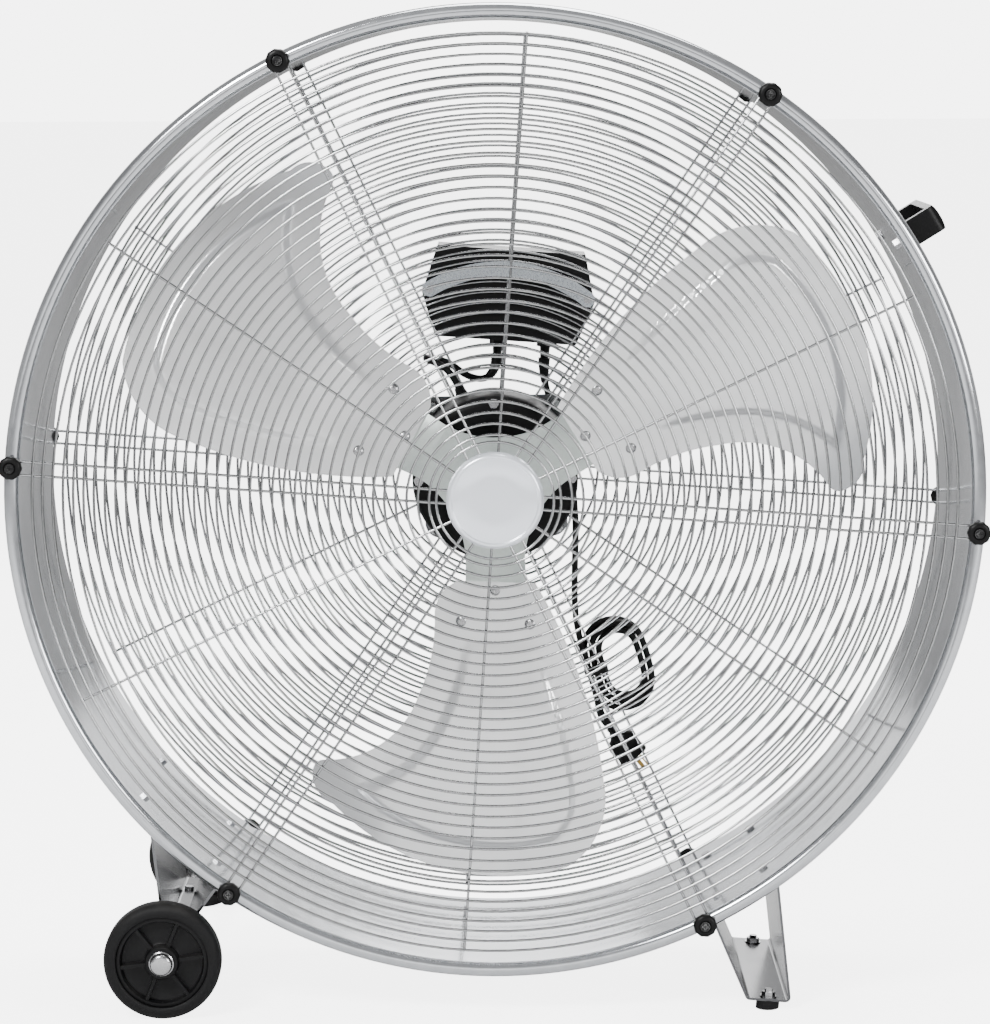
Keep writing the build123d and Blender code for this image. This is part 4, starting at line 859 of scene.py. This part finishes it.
def bladeOutline(values):
    outline = []
    reach = values["radius"]
    start = values["arcs"][-1][0]
    for end, through in values["arcs"]:
        first = (start[0] * reach, start[1] * reach)
        last = (end[0] * reach, end[1] * reach)
        if through is None:
            count = values["straightSteps"]
            outline += [
                (first[0] + (last[0] - first[0]) * i / count, first[1] + (last[1] - first[1]) * i / count)
                for i in range(count)
            ]
        else:
            middle = (through[0] * reach, through[1] * reach)
            outline += threePointArc(first, last, middle, values["edgeStep"])
        start = end
    return outline


def edgeDistance(point, outline):
    best = 1e9
    px, py = point
    for index, (ax, ay) in enumerate(outline):
        bx, by = outline[(index + 1) % len(outline)]
        dx, dy = bx - ax, by - ay
        share = max(0.0, min(1.0, ((px - ax) * dx + (py - ay) * dy) / (dx * dx + dy * dy)))
        best = min(best, hypot(px - ax - dx * share, py - ay - dy * share))
    return best


def insideOutline(point, outline):
    px, py = point
    inside = False
    for index, (ax, ay) in enumerate(outline):
        bx, by = outline[(index + 1) % len(outline)]
        if (ay > py) != (by > py) and px < (bx - ax) * (py - ay) / (by - ay) + ax:
            inside = not inside
    return inside


def bladeDepth(across, values):
    # rear face of the sheet: flat near the middle, bowed beyond it
    slope = tan(values["pitch"])
    flat = values["flatHalf"]
    if abs(across) <= flat:
        return values["depth"] - across * slope
    side = 1 if across > 0 else -1
    bow = values["bow"]
    beyond = abs(across) - flat
    # a circle tangent to the flat part, bending back towards the rear
    centreTurn = -side * sin(values["pitch"])
    inner = beyond / bow + centreTurn
    drop = sqrt(1 - centreTurn**2) - sqrt(max(0.0, 1 - inner**2))
    return values["depth"] - side * flat * slope + bow * drop


def smoothStep(value):
    value = max(0.0, min(1.0, value))
    return value * value * (3 - 2 * value)


def bladeTurn(number, values):
    return radians(values["restAngle"] - 360.0 / values["count"] * number)


def bladeSheets(values):
    outline = bladeOutline(values)
    inner = []
    reach = values["radius"]
    spacing = values["spacing"]
    below, above = values["gridAcross"]
    nearest, farthest = values["gridOut"]
    row = 0
    across = float(-int(below * reach))
    while across < above * reach:
        out = nearest * reach + (spacing / 2 if row % 2 else 0.0)
        while out < farthest * reach:
            spot = (out, across)
            if insideOutline(spot, outline) and edgeDistance(spot, outline) > spacing * values["edgeKeep"]:
                inner.append(spot)
            out += spacing
        across += spacing * values["rowShare"]
        row += 1
    flatPoints = [Vector(point) for point in outline + inner]
    edges = loopEdges(len(outline))
    verts, _, triangles, _, _, _ = delaunay_2d_cdt(flatPoints, edges, [], 1, 0.0001)
    total = len(verts)
    sides = {
        (triangle[index], triangle[after]): True
        for triangle in triangles
        for index, after in loopEdges(len(triangle))
    }
    heights = []
    for point in verts:
        rise = smoothStep((edgeDistance(point, outline) - values["panelInset"]) / values["panelBlend"] + 0.5)
        rise *= smoothStep((point.x - values["panelStart"]) / values["panelFade"] + 0.5)
        heights.append(values["panelRise"] * rise)
    for number in range(values["count"]):
        turn = bladeTurn(number, values)
        points, faces = [], []
        for front in (values["sheet"], 0.0):
            for point, height in zip(verts, heights):
                out, across = point
                x, z = turned(out, across, turn)
                points.append((x, bladeDepth(across, values) - front - height, z))
        for triangle in triangles:
            faces.append(tuple(triangle))
            faces.append(tuple(index + total for index in reversed(triangle)))
        for first, second in sides:
            if (second, first) not in sides:
                faces.append((second, first, first + total, second + total))
        piece = addPiece(f"bladeSheet{number + 1}", points, faces, "fan_wheel", "bladeSheet", 45.0)
        standFor(f"blade_{number + 1}")


bladeSheets(bladeValues)
print("blades pressed")

for side, toward in (("front", -1), ("rear", 1)):
    crossScrews(f"{side}KnobScrewHeads", f"{side}_grille_screws", toward, screwValues)


def rivets(values):
    points, faces = [], []
    pitch = values["pitch"]
    head, tall = values["rivetHead"], values["rivetHeight"]
    front, back = values["sheet"], -values["spiderSheet"]
    profile = [
        (onAxis, front + tall), (head * 0.35, front + tall * 0.95), (head * 0.68, front + tall * 0.72),
        (head * 0.9, front + tall * 0.36), (head, front), (2.6, front), (2.6, back), (4.4, back),
        (4.0, back - tall * 0.8), (onAxis, back - tall),
    ]
    for number in range(values["count"]):
        turn = bladeTurn(number, values)
        outDirection = Vector((cos(turn), 0, sin(turn)))
        acrossDirection = Vector((-sin(turn) * cos(pitch), -sin(pitch), cos(turn) * cos(pitch)))
        frontDirection = Vector((sin(pitch) * sin(turn), -cos(pitch), -sin(pitch) * cos(turn)))
        for out, across in values["rivets"]:
            base = Vector((0, values["depth"], 0)) + outDirection * out + acrossDirection * across
            start = len(points)
            segments = values["rivetSides"]
            for swing in turnsOf(segments):
                for radius, level in profile:
                    place = base + outDirection * radius * cos(swing) + acrossDirection * radius * sin(swing)
                    points.append(tuple(place + frontDirection * level))
            bandFaces(faces, start, segments, len(profile), True, False)
    piece = addPiece("bladeRivetHeads", points, faces, "fan_wheel", "fastenerSteel", 40.0)
    standFor("blade_rivets")


rivets(bladeValues)


motorValues = {
    "radius": 85.0, "front": 150.0, "coreFront": 176.0, "coreRear": 229.0, "rear": 255.5,
    "wall": 3.5, "bore": 16.05, "boss": 21.0, "opening": 9.5, "coreBore": 48.6,
}


def motorHousing(values):
    radius = values["radius"]
    front = values["front"]
    boss = values["boss"]
    for name, node, end, inner, toward in (
        ("motorFrontCasting", "motor_front_cover", front, values["coreFront"], 1),
        ("motorRearCasting", "motor_rear_cover", values["rear"], values["coreRear"], -1),
    ):
        opening, bore, wall = values["opening"], values["bore"], values["wall"]
        deep = toward * (inner - end)
        profile = [
            (opening, 0.2), (boss + 4, 0.2), (boss + 6, 1.4), (radius * 0.62, 2.0), (radius * 0.66, 0.6),
            (radius * 0.72, 0.4), (radius - 9, 1.0), (radius - 4, 2.6), (radius - 1.2, 6.0),
            (radius - 0.2, 10.0), (radius - 0.2, deep - 4.0), (radius, deep - 3.0), (radius, deep),
            (radius - wall, deep), (radius - wall, 8.0), (radius - 8, 4.2), (boss, 4.2), (boss, 13.0),
            (bore, 13.0), (bore, 2.4), (opening, 2.4),
        ]
        piece = lathe(name, standOff(profile, end, toward), "fan_frame", "blackCasting", sharp=35.0)
        standFor(node)
    core = [
        (radius, values["coreFront"]), (radius, values["coreRear"]), (values["coreBore"], values["coreRear"]),
        (values["coreBore"], values["coreFront"]),
    ]
    piece = lathe("statorCoreStack", core, "fan_frame", "blackCasting", sharp=35.0)
    standFor("stator_core")


motorHousing(motorValues)
print("motor cast")


# distances from the plug's cord end, with the radius where the plug is round
# or else its half width, half thickness and squareness
plugValues = {
    "segments": 48,
    "round": [
        (0.0, 4.3), (2.0, 4.5), (3.0, 4.9), (5.0, 4.9), (5.6, 4.4), (7.0, 4.4), (7.6, 5.3), (9.6, 5.3),
        (10.2, 4.8), (11.6, 4.9), (12.2, 5.8),
    ],
    "squared": [
        (14.2, 6.1, 5.9, 2.0), (15.4, 6.4, 6.2, 2.2), (18.4, 9.4, 8.2, 2.6), (21.0, 14.0, 10.6, 3.2),
        (24.0, 16.2, 11.6, 3.6), (28.0, 16.9, 11.9, 3.8), (34.0, 15.6, 11.4, 3.6), (40.0, 15.4, 11.2, 3.6),
        (45.0, 16.4, 11.7, 4.0), (47.2, 16.6, 11.6, 4.0), (48.0, 15.8, 10.8, 4.0),
    ],
}


def squaredOff(size, share, power):
    return size * abs(share) ** (2 / power) * (1 if share >= 0 else -1)


def plugBody(values):
    place = Vector(cordSizes["plugPlace"])
    swing = cordSizes["plugAngle"]
    along = Vector((cos(swing), 0, sin(swing)))
    across = Vector((-sin(swing), 0, cos(swing)))
    back = Vector((0, 1, 0))
    stations = [(distance, radius, radius, 2.0) for distance, radius in values["round"]] + values["squared"]
    points, faces = [], []
    segments = values["segments"]
    for distance, wide, thick, power in stations:
        for turn in turnsOf(segments):
            aside = squaredOff(wide, cos(turn), power)
            outward = squaredOff(thick, sin(turn), power)
            points.append(tuple(place + along * distance + across * aside + back * outward))
    bandFaces(faces, 0, len(stations), segments, False, True)
    faces.append(tuple(range(segments)))
    faces.append(tuple(range((len(stations) - 1) * segments, len(stations) * segments)))
    piece = addPiece("plugMoulding", points, faces, "fan_frame", "cordJacket", 45.0)
    standFor("plug_body")
    return piece


plugPiece = plugBody(plugValues)

# for each sleeve its length, then its radius at the wide and the narrow end
sleeveValues = {
    "box": (26.0, 6.6, 4.5), "plug": (24.0, 5.0, 4.1),
    "ribPitch": 3.0, "ribDepth": 0.45, "segments": 24, "ringStep": 1.0,
}


def splineLine(cord):
    # the points of the cord's own line, in metres
    data = cord.data.copy()
    data.bevel_depth = 0.0
    bare = placeObject("bareLine", data)
    bpy.context.view_layer.update()
    mesh = bpy.data.meshes.new_from_object(bare.evaluated_get(bpy.context.evaluated_depsgraph_get()))
    line = [vert.co.copy() for vert in mesh.vertices]
    bpy.data.objects.remove(bare)
    bpy.data.meshes.remove(mesh)
    return line


def pointAlong(line, distance):
    for here, there in zip(line, line[1:]):
        step = (there - here).length
        if distance <= step:
            return here.lerp(there, distance / step), (there - here).normalized()
        distance -= step
    return line[-1].copy(), (line[-1] - line[-2]).normalized()


def sleeve(points, faces, line, length, wide, narrow, values):
    start = len(points)
    segments = values["segments"]
    rings = int(length / values["ringStep"])
    side = Vector((1.0, 0.0, 0.0))
    for ring in range(rings + 1):
        distance = length * ring / rings
        place, along = pointAlong(line, distance / 1000)
        across = (side - along * side.dot(along)).normalized()
        upward = along.cross(across)
        wave = 0.5 - 0.5 * cos(2 * pi * distance / values["ribPitch"])
        radius = wide + (narrow - wide) * distance / length - values["ribDepth"] * wave
        for turn in turnsOf(segments):
            points.append(place + (across * cos(turn) + upward * sin(turn)) * radius / 1000)
    bandFaces(faces, start, rings + 1, segments, False, True)
    faces.append(tuple(range(start, start + segments)))
    faces.append(tuple(range(start + rings * segments, start + (rings + 1) * segments)))


def cordSleeves(values):
    for name, cords, sizes in (
        ("boxCordSleeves", (powerCord, motorCord), values["box"]),
        ("plugCordSleeve", (plugCord,), values["plug"]),
    ):
        points, faces = [], []
        for cord in cords:
            line = splineLine(cord)
            if cord is plugCord:
                line.reverse()
            sleeve(points, faces, line, *sizes, values)
        yield addPiece(name, points, faces, "fan_frame", "cordJacket", 45.0, placed=True)


boxSleeves, plugSleeve = cordSleeves(sleeveValues)
print("sleeves fitted")

inWorld(cordPoints["powerCord"][0])
inWorld(cordPoints["motorLead"][0])


# CAD nodes that keep their shape, by material and by the width of their bevel in mm
keptNodes = {
    "blackPlastic": {
        0.3: ["cord_tie"], 0.4: ["box_glands", "switch_body"], 0.5: ["motor_lead_gland"],
        0.8: ["control_box_cover", "switch_knob", "capacitor"], 1.2: ["control_box", "handle"],
    },
    "tyreRubber": {0.8: ["rubber_feet"]},
    "fastenerSteel": {
        0.2: ["hub_set_screw", "box_cover_screws"],
        0.3: [
            "motor_mount_bolts", "motor_tie_bolts", "strap_screws", "handle_screws", "foot_bracket_bolts",
            "foot_studs", "wheel_bracket_bolts", "saddle_bolts", "axle", "bearings",
        ],
        0.4: ["motor_shaft"], 0.5: ["axle_collar"],
    },
    "bracketSteel": {0.5: ["foot_bracket", "wheel_bracket", "motor_mount_plate"], 0.8: ["axle_saddles"]},
    "strapSteel": {0.4: ["box_strap"]},
    "spiderSheet": {0.5: ["fan_spider"], 0.6: ["fan_hub"]},
    "coreSteel": {0.4: ["motor_rotor"]},
    "copperWire": {1.5: ["stator_windings"]},
    "pinBrass": {0.3: ["plug_pins"]},
}


def dressNodes(groups):
    for material, widths in groups.items():
        for width, members in widths.items():
            for piece in (nodes[node] for node in members):
                if not piece.data.materials:
                    piece.data.materials.append(materials[material])
                for index in range(len(piece.data.materials)):
                    piece.data.materials[index] = materials[material]
                softenEdges(piece, width)


dressNodes(keptNodes)
inWorld(hankPlace(*cordPoints["hankEntry"][-1]))
print("CAD nodes dressed")


floorValues = {
    "size": 90.0, "light": (0.84, 0.84, 0.84), "dark": (0.80, 0.80, 0.80), "glow": 4.7,
    "noiseScale": 3.0, "rough": 0.9, "shine": 0.1,
}


def addFloor(values):
    mesh = bpy.data.meshes.new("studioFloor")
    half = values["size"] / 2
    corners = [(-half, -half, 0), (half, -half, 0), (half, half, 0), (-half, half, 0)]
    mesh.from_pydata(corners, [], [(0, 1, 2, 3)])
    floor = placeObject("studioFloor", mesh)
    floorMaterial = bpy.data.materials.new("studioFloor")
    floorMaterial.use_nodes = True
    tree = floorMaterial.node_tree
    shader = tree.nodes["Principled BSDF"]
    noise = newNode(tree, "TexNoise", {"Scale": values["noiseScale"]})
    colour = mixColours(tree, noise.outputs["Fac"], (*values["dark"], 1.0), (*values["light"], 1.0))
    rays = newNode(tree, "LightPath").outputs["Is Camera Ray"]
    for label, value in (
        ("Base Color", colour), ("Roughness", values["rough"]), ("Specular IOR Level", values["shine"]),
        ("Emission Color", (1.0, 1.0, 1.0, 1.0)),
        ("Emission Strength", mathNode(tree, "MULTIPLY", rays, values["glow"])),
    ):
        feed(tree, shader.inputs[label], value)
    mesh.materials.append(floorMaterial)


addFloor(floorValues)

# area lights: place, target, size and power
lightValues = {
    "key": ((-1.6, -2.4, 2.8), (0, 0, 0.6), 1.0, 170.0),
    "fill": ((2.6, -2.2, 1.4), (0, 0, 0.5), 1.2, 60.0),
    "top": ((0.3, 0.4, 3.0), (0, 0, 0.4), 1.4, 80.0),
    "rear": ((0.5, 3.0, 1.8), (0, 0, 0.5), 1.8, 45.0),
}
# the sky is brightest at the horizon ahead and behind, so that metal shows its form
worldValues = {
    "horizon": 2.2, "overhead": 0.34, "low": 0.05, "high": 0.5, "sides": 0.24, "backdrop": 5.8,
    "sideLow": 0.35, "sideHigh": 0.85,
}


def addLights(lights, world):
    for name, (place, target, size, power) in lights.items():
        data = bpy.data.lights.new(name, "AREA")
        data.size = size
        data.energy = power
        lamp = placeObject(name, data)
        lamp.location = place
        lamp.rotation_euler = (Vector(target) - Vector(place)).to_track_quat("-Z", "Y").to_euler()
    sky = bpy.data.worlds.new("studioSky")
    sky.use_nodes = True
    tree = sky.node_tree
    background = tree.nodes["Background"]
    parts = newNode(tree, "SeparateXYZ", {0: newNode(tree, "TexCoord").outputs["Generated"]}).outputs
    upward = rangeNode(tree, parts["Z"], world["low"], world["high"], world["horizon"], world["overhead"])
    sideways = mathNode(tree, "ABSOLUTE", parts["X"], 0.0)
    sideShade = rangeNode(tree, sideways, world["sideLow"], world["sideHigh"], 1.0, world["sides"])
    soft = mathNode(tree, "MULTIPLY", upward, sideShade)
    rays = newNode(tree, "LightPath").outputs["Is Camera Ray"]
    seen = mathNode(tree, "MULTIPLY", rays, world["backdrop"])
    hidden = mathNode(tree, "MULTIPLY", mathNode(tree, "SUBTRACT", 1.0, rays), soft)
    background.inputs["Color"].default_value = (1.0, 1.0, 1.0, 1.0)
    feed(tree, background.inputs["Strength"], mathNode(tree, "ADD", seen, hidden))
    bpy.context.scene.world = sky


addLights(lightValues, worldValues)
print("stage lit")
